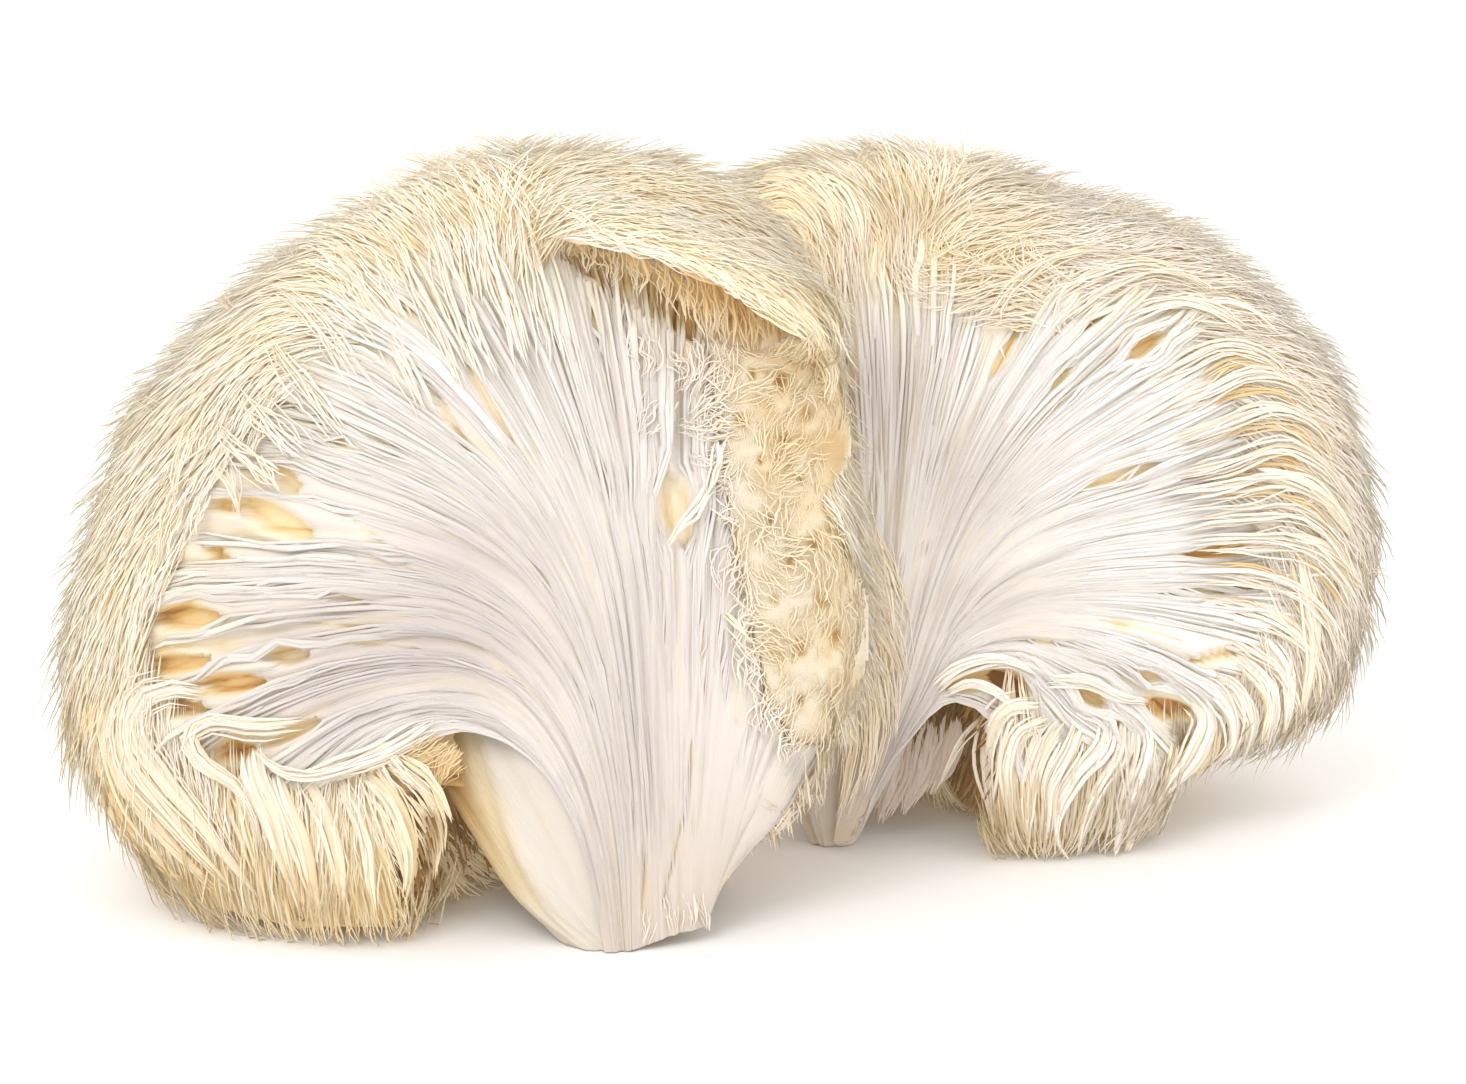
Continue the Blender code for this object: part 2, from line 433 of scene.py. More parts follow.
flesh_base = material("torn_flesh", "Tone", grain=(420.0, 9.0, 1.0), grain_map="OFBake", bump=0.45, scatter=0.3, mottle=0.05, dim=0.87, painted_glow=0.05)
fibre_look = material("flesh_fibres", "OFBake", rough=(0.5, 0.8), grain=(900.0, 900.0, 900.0), bump=0.15, scatter=0.2, dim=0.87, painted_glow=0.05)
spine_look = material("spines", "OFBake", rough=(0.5, 0.75), grain=(900.0, 900.0, 900.0), bump=0.12, scatter=0.15, dim=0.87, painted_glow=0.15)
stem_look = material("stem_skin", "Tone", grain=(110.0, 16.0, 1.0), grain_map="OFBake", bump=0.6, scatter=0.3, mottle=0.16, dim=0.77, painted_glow=0.02)
felt_look = material("felt", "Tone", rough=(0.7, 0.9), grain=(160.0, 90.0, 1.0), grain_map="OFBake", bump=0.8, scatter=0.25, mottle=0.22, dim=0.86, painted_glow=0.05)
shade_look = material("spines_in_shade", "OFBake", rough=(0.6, 0.8), grain=(900.0, 900.0, 900.0), bump=0.12, scatter=0.1, dim=0.80, painted_glow=0.05)
core_look = material("under_coat", "OFBake", grain=(700.0, 700.0, 260.0), bump=0.5, scatter=0.15, mottle=0.2, painted_glow=0.14)

# --------------------------------------------------------------- the torn faces

# Run of the fibres over the left face, PX, from the stem out to the rim, counted
# from the lower left round over the top to the right.
LEFT_GUIDES = (
    ((604, 956), (592, 880), (570, 815), (540, 770), (500, 740), (455, 730), (410, 742), (362, 766), (318, 788)),
    ((608, 955), (595, 875), (573, 805), (545, 758), (505, 722), (460, 707), (415, 709), (365, 726), (315, 760), (278, 790), (262, 830)),
    ((612, 954), (599, 868), (577, 795), (550, 745), (512, 704), (465, 686), (415, 688), (360, 700), (305, 725), (255, 755), (222, 790), (205, 835)),
    ((616, 953), (603, 860), (582, 785), (555, 732), (518, 688), (470, 664), (415, 659), (350, 668), (285, 688), (225, 712), (172, 742), (140, 785)),
    ((619, 953), (606, 852), (586, 775), (560, 718), (524, 672), (478, 642), (420, 630), (350, 635), (280, 648), (210, 664), (150, 688), (108, 722)),
    ((622, 952), (609, 844), (590, 764), (566, 704), (530, 656), (486, 622), (430, 604), (360, 600), (290, 602), (215, 610), (150, 628), (98, 655)),
    ((625, 952), (613, 836), (595, 752), (573, 690), (540, 640), (498, 600), (445, 574), (380, 560), (310, 554), (240, 552), (170, 560), (110, 580)),
    ((628, 951), (618, 828), (600, 740), (580, 675), (550, 622), (512, 578), (462, 545), (405, 522), (345, 505), (280, 494), (220, 492), (155, 498), (105, 515)),
    ((630, 951), (622, 820), (606, 728), (588, 660), (562, 605), (528, 555), (485, 512), (435, 477), (380, 450), (320, 426), (260, 412), (200, 410), (145, 425)),
    ((632, 950), (627, 812), (612, 716), (597, 645), (575, 588), (546, 533), (508, 480), (465, 437), (415, 396), (360, 362), (305, 340), (250, 330), (200, 340)),
    ((635, 950), (631, 806), (619, 705), (606, 632), (588, 572), (563, 512), (530, 452), (494, 397), (452, 345), (408, 302), (360, 270), (315, 252)),
    ((643, 948), (638, 802), (627, 698), (616, 622), (602, 560), (580, 495), (552, 430), (522, 367), (490, 308), (456, 258), (420, 220), (390, 200)),
    ((650, 945), (645, 798), (636, 692), (628, 614), (617, 550), (600, 480), (578, 410), (556, 342), (535, 280), (514, 230), (496, 190)),
    ((658, 942), (654, 796), (647, 688), (641, 608), (633, 543), (620, 470), (605, 398), (590, 328), (577, 268), (565, 228), (556, 200)),
    ((667, 938), (664, 796), (660, 686), (657, 606), (652, 540), (645, 465), (637, 392), (630, 325), (625, 275), (622, 245), (620, 225)),
    ((677, 935), (677, 798), (675, 690), (674, 612), (672, 545), (670, 470), (668, 398), (668, 338), (670, 295), (673, 270), (676, 250)),
    ((688, 932), (690, 800), (693, 694), (694, 618), (695, 550), (697, 480), (702, 412), (710, 358), (718, 322), (726, 300), (734, 285)),
    ((698, 930), (704, 805), (710, 705), (714, 628), (717, 560), (722, 495), (732, 430), (747, 378), (760, 342), (772, 320), (784, 305)),
    ((706, 926), (717, 815), (728, 725), (735, 650), (741, 580), (748, 515), (760, 455), (776, 405), (792, 365), (806, 340), (820, 325)),
    ((712, 915), (730, 830), (748, 752), (760, 684), (768, 622), (776, 562), (787, 502), (800, 448), (814, 405), (830, 375)),
    ((719, 900), (742, 840), (766, 780), (786, 722), (802, 665), (814, 610), (824, 555), (832, 505)),
    ((722, 890), (757, 848), (797, 802), (832, 742), (855, 690), (870, 630), (878, 575)),
)
RIGHT_GUIDES = (
    ((832, 842), (838, 790), (846, 730), (852, 670), (856, 600), (856, 540), (852, 480), (846, 420), (840, 360), (832, 300), (826, 250)),
    ((834, 843), (846, 785), (858, 722), (867, 655), (872, 590), (873, 520), (871, 450), (867, 385), (863, 320), (858, 260), (852, 215)),
    ((836, 844), (853, 783), (869, 718), (880, 648), (888, 578), (893, 510), (896, 440), (898, 375), (898, 310), (896, 250), (892, 200)),
    ((838, 844), (859, 781), (879, 714), (893, 640), (905, 568), (916, 500), (927, 430), (939, 365), (949, 305), (956, 250), (960, 205)),
    ((840, 844), (864, 779), (887, 711), (904, 636), (920, 562), (937, 492), (957, 425), (979, 365), (1001, 310), (1019, 262), (1032, 222)),
    ((842, 844), (869, 777), (894, 708), (914, 632), (934, 556), (958, 488), (987, 426), (1019, 372), (1051, 325), (1082, 282), (1108, 243)),
    ((844, 843), (873, 775), (900, 706), (922, 628), (947, 552), (978, 488), (1015, 432), (1057, 384), (1101, 340), (1144, 302), (1184, 268)),
    ((846, 842), (877, 773), (905, 704), (930, 626), (959, 552), (998, 494), (1044, 445), (1096, 403), (1152, 365), (1204, 330), (1250, 298)),
    ((848, 841), (880, 771), (910, 703), (938, 626), (971, 556), (1016, 505), (1069, 465), (1129, 432), (1192, 400), (1251, 370), (1300, 343)),
    ((850, 840), (883, 769), (914, 703), (944, 627), (982, 563), (1033, 520), (1091, 490), (1154, 467), (1220, 443), (1283, 418), (1336, 397)),
    ((852, 838), (886, 767), (917, 703), (950, 630), (992, 575), (1047, 542), (1109, 521), (1173, 506), (1240, 492), (1303, 475), (1356, 459)),
    ((853, 836), (888, 765), (920, 704), (954, 634), (1000, 590), (1059, 567), (1123, 556), (1190, 550), (1258, 543), (1320, 533), (1368, 526)),
    ((854, 834), (889, 763), (922, 705), (957, 640), (1007, 604), (1067, 590), (1133, 587), (1200, 590), (1265, 593), (1325, 593), (1372, 592)),
    ((855, 832), (890, 761), (923, 706), (959, 646), (1011, 617), (1073, 611), (1139, 617), (1204, 632), (1265, 648), (1318, 660), (1352, 668)),
    ((856, 830), (890, 760), (924, 708), (960, 653), (1013, 630), (1071, 632), (1131, 647), (1190, 672), (1243, 700), (1288, 727), (1312, 746)),
    ((857, 828), (891, 759), (924, 711), (960, 660), (1011, 643), (1063, 652), (1116, 675), (1163, 706), (1201, 740), (1226, 768)),
    ((858, 826), (891, 758), (924, 714), (958, 668), (1005, 656), (1051, 670), (1096, 697), (1134, 732), (1160, 772), (1170, 805)),
    ((859, 824), (892, 758), (923, 718), (955, 677), (996, 668), (1035, 685), (1072, 716), (1100, 755), (1116, 800), (1120, 842)),
    ((860, 822), (892, 758), (921, 723), (950, 688), (985, 682), (1016, 702), (1043, 734), (1061, 775), (1070, 820), (1072, 852)),
    ((861, 820), (892, 760), (918, 730), (944, 703), (970, 700), (992, 718), (1010, 750), (1020, 790), (1024, 835)),
)
# Gaps where the fibres part: from, to, half width, how deep it sinks and how dark its painted shade is, PX.
LEFT_GAPS = (
    (204, 502, 238, 509, 6, 0.85), (234, 498, 312, 540, 11, 0.8), (244, 462, 262, 488, 8, 0.55), (270, 464, 298, 496, 8, 0.7),
    (195, 538, 228, 568, 5, 0.6), (335, 506, 406, 564, 4, 0.35), (148, 618, 218, 618, 10, 0.75), (264, 657, 306, 655, 8, 0.8),
    (130, 668, 208, 662, 8, 0.75), (196, 685, 258, 683, 9, 0.9), (250, 580, 330, 592, 3, 0.45), (314, 590, 368, 606, 4, 0.5),
    (148, 705, 204, 712, 6, 0.8), (208, 752, 248, 754, 8, 0.85), (320, 720, 260, 747, 5, 0.75), (220, 774, 252, 790, 6, 0.85),
    (262, 818, 273, 868, 6, 0.65), (324, 298, 348, 346, 3.5, 0.6), (346, 345, 394, 454, 3, 0.5), (462, 358, 511, 442, 4, 0.6),
    (426, 384, 462, 440, 3.5, 0.6), (430, 393, 476, 466, 3, 0.5), (474, 463, 520, 532, 2.5, 0.4), (518, 528, 556, 606, 2.2, 0.35),
    (260, 365, 288, 381, 6, 0.55), (250, 395, 288, 405, 5, 0.55), (286, 366, 324, 432, 4, 0.5), (322, 430, 342, 447, 5, 0.5),
    (362, 428, 396, 458, 3.5, 0.5), (334, 326, 354, 348, 4, 0.5), (294, 396, 322, 432, 4, 0.5), (386, 330, 404, 380, 3, 0.4),
    (529, 558, 568, 606, 2.2, 0.42), (565, 600, 594, 661, 2.2, 0.42), (590, 656, 627, 712, 2.2, 0.42), (624, 706, 647, 762, 2.2, 0.4),
    (645, 756, 646, 862, 2.0, 0.38), (646, 856, 642, 912, 2.0, 0.38), (564, 667, 598, 714, 2.0, 0.35), (595, 710, 621, 775, 2.0, 0.35),
    (618, 770, 634, 815, 2.0, 0.35), (631, 810, 643, 862, 2.0, 0.35), (692, 744, 688, 812, 2.0, 0.38), (688, 806, 672, 870, 2.0, 0.38),
    (673, 866, 662, 912, 2.0, 0.38), (666, 472, 687, 546, 12, 0.62), (600, 455, 610, 500, 3, 0.35), (640, 330, 652, 388, 4, 0.45),
    (700, 376, 711, 424, 5, 0.5), (588, 296, 600, 352, 3.5, 0.45), (655, 556, 667, 642, 3, 0.4), (700, 598, 706, 702, 2.4, 0.35),
    (540, 262, 552, 330, 3, 0.4), (500, 280, 520, 330, 3, 0.4), (620, 300, 632, 350, 3, 0.4), (366, 540, 440, 590, 2.5, 0.35),
    (470, 640, 540, 705, 2.0, 0.3), (300, 622, 400, 634, 2.5, 0.4), (330, 640, 420, 650, 2.5, 0.4), (720, 620, 728, 700, 3, 0.4),
    (735, 520, 742, 600, 4, 0.45), (760, 660, 766, 740, 3, 0.4), (586, 420, 602, 500, 2.2, 0.3),
)
RIGHT_GAPS = (
    (948, 688, 1006, 674, 8, 0.85), (990, 674, 1031, 699, 11, 1.0), (1078, 680, 1106, 708, 8, 0.8), (1144, 705, 1198, 717, 8, 0.8),
    (1140, 673, 1164, 681, 5, 0.6), (1074, 746, 1104, 770, 8, 0.65), (1084, 487, 1166, 462, 4.5, 0.55), (1188, 557, 1282, 542, 5.5, 0.7),
    (1158, 594, 1285, 588, 4, 0.55), (1194, 663, 1258, 647, 5, 0.6), (1132, 359, 1164, 331, 7, 0.65), (992, 279, 1038, 293, 9, 0.8),
    (889, 243, 907, 273, 8, 0.7), (907, 223, 921, 231, 5, 0.6), (939, 212, 959, 220, 5, 0.6), (1053, 389, 1073, 363, 4.5, 0.5),
    (991, 379, 1015, 337, 4.5, 0.5), (984, 227, 1062, 269, 8, 0.35), (1058, 266, 1132, 282, 8, 0.35), (922, 370, 942, 378, 3, 0.4),
    (1196, 405, 1256, 363, 3.5, 0.5), (1276, 434, 1320, 419, 4, 0.6), (900, 562, 962, 528, 2.2, 0.3), (962, 528, 1102, 486, 2.2, 0.35),
    (1224, 440, 1304, 420, 3, 0.45), (1040, 420, 1100, 380, 2.5, 0.35), (1100, 620, 1180, 640, 2.5, 0.35), (1180, 480, 1262, 462, 3, 0.45),
    (1018, 718, 1050, 772, 5, 0.6), (1118, 718, 1146, 772, 5, 0.6), (1010, 640, 1090, 645, 2.5, 0.4), (880, 640, 905, 560, 2.0, 0.3),
    (868, 560, 880, 460, 2.0, 0.3), (925, 460, 960, 380, 2.2, 0.3), (1230, 612, 1300, 622, 4, 0.5), (1240, 500, 1310, 488, 3.5, 0.5),
    (1150, 420, 1210, 385, 3, 0.4), (1085, 330, 1120, 298, 4, 0.5), (1010, 345, 1030, 315, 4, 0.5), (950, 330, 960, 295, 3, 0.4),
)


LEFT_GAPS = tuple((*g[:4], g[4] * (1.35 if g[4] > 4 else 1.0), g[5]) for g in LEFT_GAPS)
RIGHT_GAPS = tuple((*g[:4], g[4] * (1.35 if g[4] > 4 else 1.0), g[5]) for g in RIGHT_GAPS)


def push_apart(px, py, gaps):
    """Fibres move out of each gap, to its two sides."""
    px, py = px.copy(), py.copy()
    for ax, ay, bx, by, w, _ in gaps:
        cx, cy, hx, hy = (ax + bx) / 2, (ay + by) / 2, (bx - ax) / 2, (by - ay) / 2
        half = math.hypot(hx, hy)
        ux, uy = hx / half, hy / half
        along = ((px - cx) * ux + (py - cy) * uy) / half
        across = -(px - cx) * uy + (py - cy) * ux
        push = 1.35 * w * np.clip(1.1 - along**2, 0, 1) * np.exp(-np.abs(across) / (1.8 * w)) * np.where(across < 0, -1, 1)
        px += -uy * push
        py += ux * push
    return px, py


def gap_depth(px, py, gaps):
    """How deep in a gap each place is, from 0 to the gap's own depth; it sinks the face there and sets its painted
    shade.
    """
    deep = np.zeros(np.shape(px))
    for ax, ay, bx, by, w, dark in gaps:
        cx, cy, hx, hy = (ax + bx) / 2, (ay + by) / 2, (bx - ax) / 2, (by - ay) / 2
        half = math.hypot(hx, hy)
        ux, uy = hx / half, hy / half
        along = ((px - cx) * ux + (py - cy) * uy) / (half * 1.05)
        lens = np.clip(1 - along**2, 0, 1) ** 0.75
        across = np.abs(-(px - cx) * uy + (py - cy) * ux) / (w * lens + 0.5)
        deep = np.maximum(deep, dark * smooth(1.3, 0.5, across) * smooth(0.0, 0.2, lens))
    return deep


class Fan:
    """A torn face as a sheet: s runs out along the fibres, t across them."""

    def __init__(self, guides, depth, rows=160, fine=14):
        lines = np.stack([curve(g, rows) for g in guides])
        k = len(lines)
        t = np.linspace(0, k - 1, (k - 1) * fine + 1)
        i = np.clip(t.astype(int), 0, k - 2)
        u = (t - i)[:, None, None]
        before, after = lines[np.clip(i - 1, 0, k - 1)], lines[np.clip(i + 2, 0, k - 1)]
        a, b = lines[i], lines[i + 1]
        self.px = 0.5 * (
            2 * a + (b - before) * u + (2 * before - 5 * a + 4 * b - after) * u**2 + (3 * a - before - 3 * b + after) * u**3
        )
        self.depth = depth
        self.points = on_face(self.px[..., 0], self.px[..., 1], depth)
        out = np.gradient(self.points, axis=1)
        across = np.gradient(self.points, axis=0)
        n = unit(np.cross(out, across))
        n *= np.where((n * (EYE - self.points)).sum(-1, keepdims=True) < 0, -1, 1)
        self.normals = n
        self.width = np.linalg.norm(np.diff(self.points, axis=0), axis=-1).sum(0)
        self.cumulative = np.vstack([np.zeros(rows), np.cumsum(np.linalg.norm(np.diff(self.points, axis=0), axis=-1), axis=0)])
        self.length = np.linalg.norm(np.diff(self.points, axis=1), axis=-1).sum(1)

    def read(self, grid, s, t):
        rows, columns = grid.shape[:2]
        a = np.clip(np.asarray(t, float), 0, 1) * (rows - 1)
        b = np.asarray(s, float) * (columns - 1)
        i = np.clip(a.astype(int), 0, rows - 2)
        j = np.clip(b.astype(int), 0, columns - 2)
        u, v = (a - i)[..., None], (b - j)[..., None]
        return (grid[i, j] * (1 - u) + grid[i + 1, j] * u) * (1 - v) + (grid[i, j + 1] * (1 - u) + grid[i + 1, j + 1] * u) * v

    def across_at(self, s, share):
        """t at this share of the sheet's width, measured where s is."""
        j = int(np.clip(s, 0, 1) * (self.cumulative.shape[1] - 1))
        line = self.cumulative[:, j] / self.cumulative[-1, j]
        return np.interp(share, line, np.linspace(0, 1, len(line)))


left_fan = Fan(LEFT_GUIDES, left_face)
right_fan = Fan(RIGHT_GUIDES, right_face)

# The short, porous wool at the left face's right side, PX.
WOOL = (
    (706, 338), (760, 354), (800, 332), (832, 346), (860, 428), (850, 470), (828, 508), (852, 560), (884, 600),
    (892, 660), (880, 702), (850, 722), (820, 745), (792, 745), (766, 700), (752, 640), (742, 580), (728, 520),
    (722, 470), (714, 400),
)
# Shade under the flap, on the left face, PX.
UNDER_FLAP = (
    (548, 224), (575, 228), (606, 250), (650, 258), (690, 276), (730, 292), (770, 314), (802, 342), (772, 356),
    (735, 350), (700, 342), (660, 322), (620, 296), (585, 272), (560, 258),
)
# The greyish, shaded stretches of flesh: centre, half size, strength, PX.
LEFT_GREY = ((430, 640, 150, 60, 0.55), (560, 880, 60, 70, 0.35), (470, 560, 90, 60, 0.4), (330, 700, 90, 40, 0.45), (640, 700, 40, 160, 0.25))
RIGHT_GREY = ((880, 390, 60, 70, 0.6), (900, 760, 60, 60, 0.7), (1000, 600, 90, 30, 0.3), (960, 480, 70, 60, 0.35))


def grey_at(px, py, spots):
    grey = np.zeros(np.shape(px))
    for x, y, a, b, strength in spots:
        grey = np.maximum(grey, strength * np.exp(-(((px - x) / a) ** 2) - ((py - y) / b) ** 2))
    return grey


def face_tone(px, py, s, side):
    """Tone of the flesh before its gaps: white from the stem out, cream at the rim."""
    tone = 0.03 + 0.20 * smooth(0.74, 1.0, s)
    if side == "left":
        # Painted shade under the flap: the flesh there is tinted golden brown.
        tone += 0.42 * inside(UNDER_FLAP, px, py)
        tone += 0.20 * smooth(715, 800, px) * smooth(780, 660, py)
        tone += 0.10 * smooth(0.3, 0.0, s)
        tone += 0.10 * smooth(400, 250, px) * smooth(520, 380, py)
    else:
        tone += 0.22 * smooth(340, 250, py) * smooth(1220, 1080, px)
        tone += 0.20 * smooth(0.14, 0.0, s)
    return tone


def bands(s, t, fan, seed):
    """(height, crease) of the bands that the fibres lie in: fine by the stem, 3 to 5 mm wide towards the rim."""
    width = np.interp(s, np.linspace(0, 1, len(fan.width)), fan.width)
    wanted = 1.1 + 3.3 * smooth(0.30, 0.85, s)
    height, crease = np.zeros(np.shape(s)), np.zeros(np.shape(s))
    for octave, count in enumerate((14, 28, 56, 112, 224)):
        bend = 0.6 * noise2(t * 9, s * 4, seed + 40 + octave)
        wave = noise2(t * count + bend, s * (2.6 + 1.4 * octave), seed + octave)
        size = width / count
        weight = np.exp(-(np.log(np.maximum(size, 0.05) / wanted) ** 2) / 0.55)
        height += weight * size * 0.20 * (2.3 * np.abs(wave) - 0.8)
        crease = np.maximum(crease, weight * np.exp(-((wave / 0.10) ** 2)))
    return height, crease


def sheet_height(s, t, px, py, fan, gaps, side, seed):
    height, crease = bands(s, t, fan, seed)
    deep = gap_depth(px, py, gaps)
    sunk = 0.3 + 0.7 * smooth(0.55, 0.85, s) + 2.2 * smooth(0.90, 1.02, s)
    sunk = sunk + 2.6 * deep * smooth(0.2, 0.75, deep) + 0.8 * deep
    if side == "left":
        sunk = sunk + 3.4 * inside(UNDER_FLAP, px, py) + 2.4 * inside(WOOL, px, py)
    return height * (1 - 0.7 * np.clip(deep, 0, 1)) - np.minimum(sunk, 5.6), crease, deep


def flesh_sheet(name, fan, gaps, grey_spots, side, seed, rows, columns):
    """The face itself: bands that follow the fibres, sunk at the rim and in the gaps."""
    share = np.linspace(0, 1, rows)
    t = fan.across_at(0.75, share)[:, None] * np.ones(columns)
    s = (np.linspace(0, 1, columns) ** 0.9)[None, :] * np.ones((rows, 1)) * 0.99
    px = fan.read(fan.px, s, t)
    points, normals = fan.read(fan.points, s, t), unit(fan.read(fan.normals, s, t))
    height, crease, deep = sheet_height(s, t, px[..., 0], px[..., 1], fan, gaps, side, seed)
    edge = np.minimum(np.minimum(share, 1 - share)[:, None] * rows / 6.0, (1 - s / 0.99) * columns / 4.0)
    height = height - 1.5 * (1 - np.clip(edge, 0, 1))
    points = points + normals * height[..., None]
    outer = smooth(0.35, 0.85, s)
    tone = face_tone(px[..., 0], px[..., 1], s, side)
    # Painted shade: the creases and the gaps between the fibres are tinted golden to brown, the deepest gaps most.
    tone += (0.14 + 0.20 * outer) * crease + 0.14 * smooth(0.72, 0.98, s) + (0.48 if side == "left" else 0.64) * deep + 0.36 * smooth(0.88, 1.0, deep)
    tone += 0.03 * noise2(t * 40, s * 9, seed + 60) * outer
    if side == "left":
        tone += 0.16 * inside(WOOL, px[..., 0], px[..., 1])
    # Painted shade: the left face is darker than the right, both darker towards the stem, in the creases and in the
    # greyish stretches, and lighter towards the rim and in the gaps.
    shade = (0.72 if side == "left" else 0.86) + 0.05 * smooth(0.5, 0.9, s) - 0.16 * smooth(0.4, 0.0, s) - 0.6 * grey_at(px[..., 0], px[..., 1], grey_spots) - 0.03 * crease + 0.3 * deep
    places = np.stack([t, s], -1).reshape(-1, 2)
    tones = np.clip(np.stack([tone, shade], -1), 0.001, 0.999).reshape(-1, 2)
    points[..., 2] = np.maximum(points[..., 2], 0.15)
    quads = sheet_faces(rows, columns)
    p = points.reshape(-1, 3)
    a, b, c = p[quads[:, 0]], p[quads[:, 1]], p[quads[:, 2]]
    if (np.cross(b - a, c - a) * (EYE - a)).sum() < 0:
        quads = quads[:, ::-1]
    return mesh_object(name, p, quads, [], {"OFBake": places * 0.98 + 0.01, "Tone": tones}, flesh_base)


def fan_fibres(fan, gaps, grey_spots, side, seed, sheet_seed, count, m=12, sides=3):
    """Fibres along the face. Near the stem they lie sunk in it, and towards the rim they come free of it."""
    rng = np.random.default_rng(seed)
    bundles = count // 7
    middle = fan.across_at(0.8, rng.uniform(0.003, 0.997, bundles))
    own = rng.integers(0, bundles, count)
    spread = rng.normal(0, 1, count) * 2.2 / fan.width[-20]
    t_end = np.clip(middle[own] + spread, 0.002, 0.998)
    share = rng.uniform(0, 1, count)
    along = np.linspace(0, 1, len(fan.width))
    s0 = np.interp(share, np.maximum.accumulate(fan.width) / fan.width.max(), along) * 0.85
    s0 = np.clip(s0 + rng.normal(0, 0.03, count), 0.0, 0.78)
    layer = rng.uniform(0, 1, count)
    s1 = np.where(rng.uniform(0, 1, count) < 0.3, rng.uniform(0.6, 0.92, count), rng.uniform(0.92, 1.03, count))
    s1 = np.maximum(s1, s0 + 0.18)
    u = np.linspace(0, 1, m)[None, :]
    s = s0[:, None] + (s1 - s0)[:, None] * u
    gather = 1 - 0.55 * smooth(0.25, 0.7, s) + 0.35 * smooth(0.85, 1.0, s)
    t = middle[own][:, None] + (t_end - middle[own])[:, None] * gather
    px = fan.read(fan.px, s, t)
    x, y = px[..., 0], px[..., 1]
    # Neighbours sway together, each a little its own way.
    free = smooth(0.45, 0.9, s)
    sway = noise2(own[:, None] * 1.7 + 0.5, s * 5, seed + 1) * 3.2 * free + noise2(t * 18, s * 4, seed + 2) * 5.0 * free
    mine = noise2(np.arange(count)[:, None] * 1.37, s * 8, seed + 3) * (0.5 + 2.6 * free)
    way = unit(np.stack([np.gradient(x, axis=1), np.gradient(y, axis=1)], -1))
    x = x - way[..., 1] * (sway + mine)
    y = y + way[..., 0] * (sway + mine)
    x, y = push_apart(x, y, gaps)
    points = on_face(x, y, fan.depth)
    normals = unit(fan.read(fan.normals, s, t))
    height, _, deep = sheet_height(s, t, x, y, fan, gaps, side, sheet_seed)
    open_gaps = [g for g in gaps if g[5] > 0.59]
    over = [gap_depth(x[:, :-1] * k + x[:, 1:] * (1 - k), y[:, :-1] * k + y[:, 1:] * (1 - k), open_gaps).max(1) for k in (0.25, 0.5, 0.75)]
    kept = (deep.max(1) < 0.42) & (np.maximum.reduce(over) < 0.5)
    radius = np.exp(rng.normal(math.log(0.22), 0.32, count))[:, None]
    height = (
        height
        - 0.45 * radius * (1 - free)
        + free * (0.05 + 0.65 * layer[:, None] ** 2)
        + 0.35 * free * noise2(np.arange(count)[:, None] * 2.11, s * 6, seed + 4)
    )
    fade = smooth(0.0, 0.10, u) * smooth(1.0, 0.88, u)
    height = height - (0.7 + 0.9 * free) * (1 - fade)
    points = points + normals * height[..., None]
    taper = np.clip(u / 0.12, 0, 1) ** 0.6 * np.clip((1 - u) / 0.2, 0, 1) ** 0.6
    swell = 1 + 0.2 * noise2(np.arange(count)[:, None] * 3.3, s * 14, seed + 5)
    radii = np.maximum(radius * taper * swell * (0.75 + 0.5 * free), 0.05)
    points[..., 2] = np.maximum(points[..., 2], radii + 0.1)
    # Painted shade: the lower fibres and those beside a gap are tinted more golden.
    tone = face_tone(x, y, s, side)
    tone += free * 0.10 * (1 - layer[:, None]) ** 1.4 + 0.30 * deep
    if side == "left":
        tone += 0.16 * inside(WOOL, x, y)
    tone += rng.normal(0, 0.02, count)[:, None]
    # Painted shade: the left face's fibres are darker than the right's, all darker towards the stem and in the greyish
    # stretches, lighter towards the rim; the lower fibres darker still.
    shade = (0.77 if side == "left" else 0.91) + 0.05 * smooth(0.5, 0.9, s) - 0.16 * smooth(0.4, 0.0, s) - 0.6 * grey_at(x, y, grey_spots) + rng.normal(0, 0.04, count)[:, None]
    shade = shade - 0.12 * free * (1 - layer[:, None])
    tone, shade = np.clip(tone, 0.002, 0.998)[kept], np.clip(shade, 0.02, 0.98)[kept]
    return tubes(points[kept], radii[kept], sides, tone, shade, normals[kept, m // 2], flat=0.85, soft=0.6)


flesh_sheet("left_flesh", left_fan, LEFT_GAPS, LEFT_GREY, "left", 11, 420, 80)
flesh_sheet("right_flesh", right_fan, RIGHT_GAPS, RIGHT_GREY, "right", 21, 380, 74)
strand_piece("left_flesh_fibres", fan_fibres(left_fan, LEFT_GAPS, LEFT_GREY, "left", 31, 11, 1760), fibre_look)
strand_piece("right_flesh_fibres", fan_fibres(right_fan, RIGHT_GAPS, RIGHT_GREY, "right", 41, 21, 1480), fibre_look)
print("fans", round(time.time() - began, 1))

# ------------------------------------------------------------- the solid's skin

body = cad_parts["fruit_body"]
solid = body.data
co = np.empty(len(solid.vertices) * 3, np.float32)
solid.vertices.foreach_get("co", co)
co = co.reshape(-1, 3).astype(float) / MM + SHIFT
solid.calc_loop_triangles()
tri = np.empty(len(solid.loop_triangles) * 3, np.int32)
solid.loop_triangles.foreach_get("vertices", tri)
tri = tri.reshape(-1, 3)
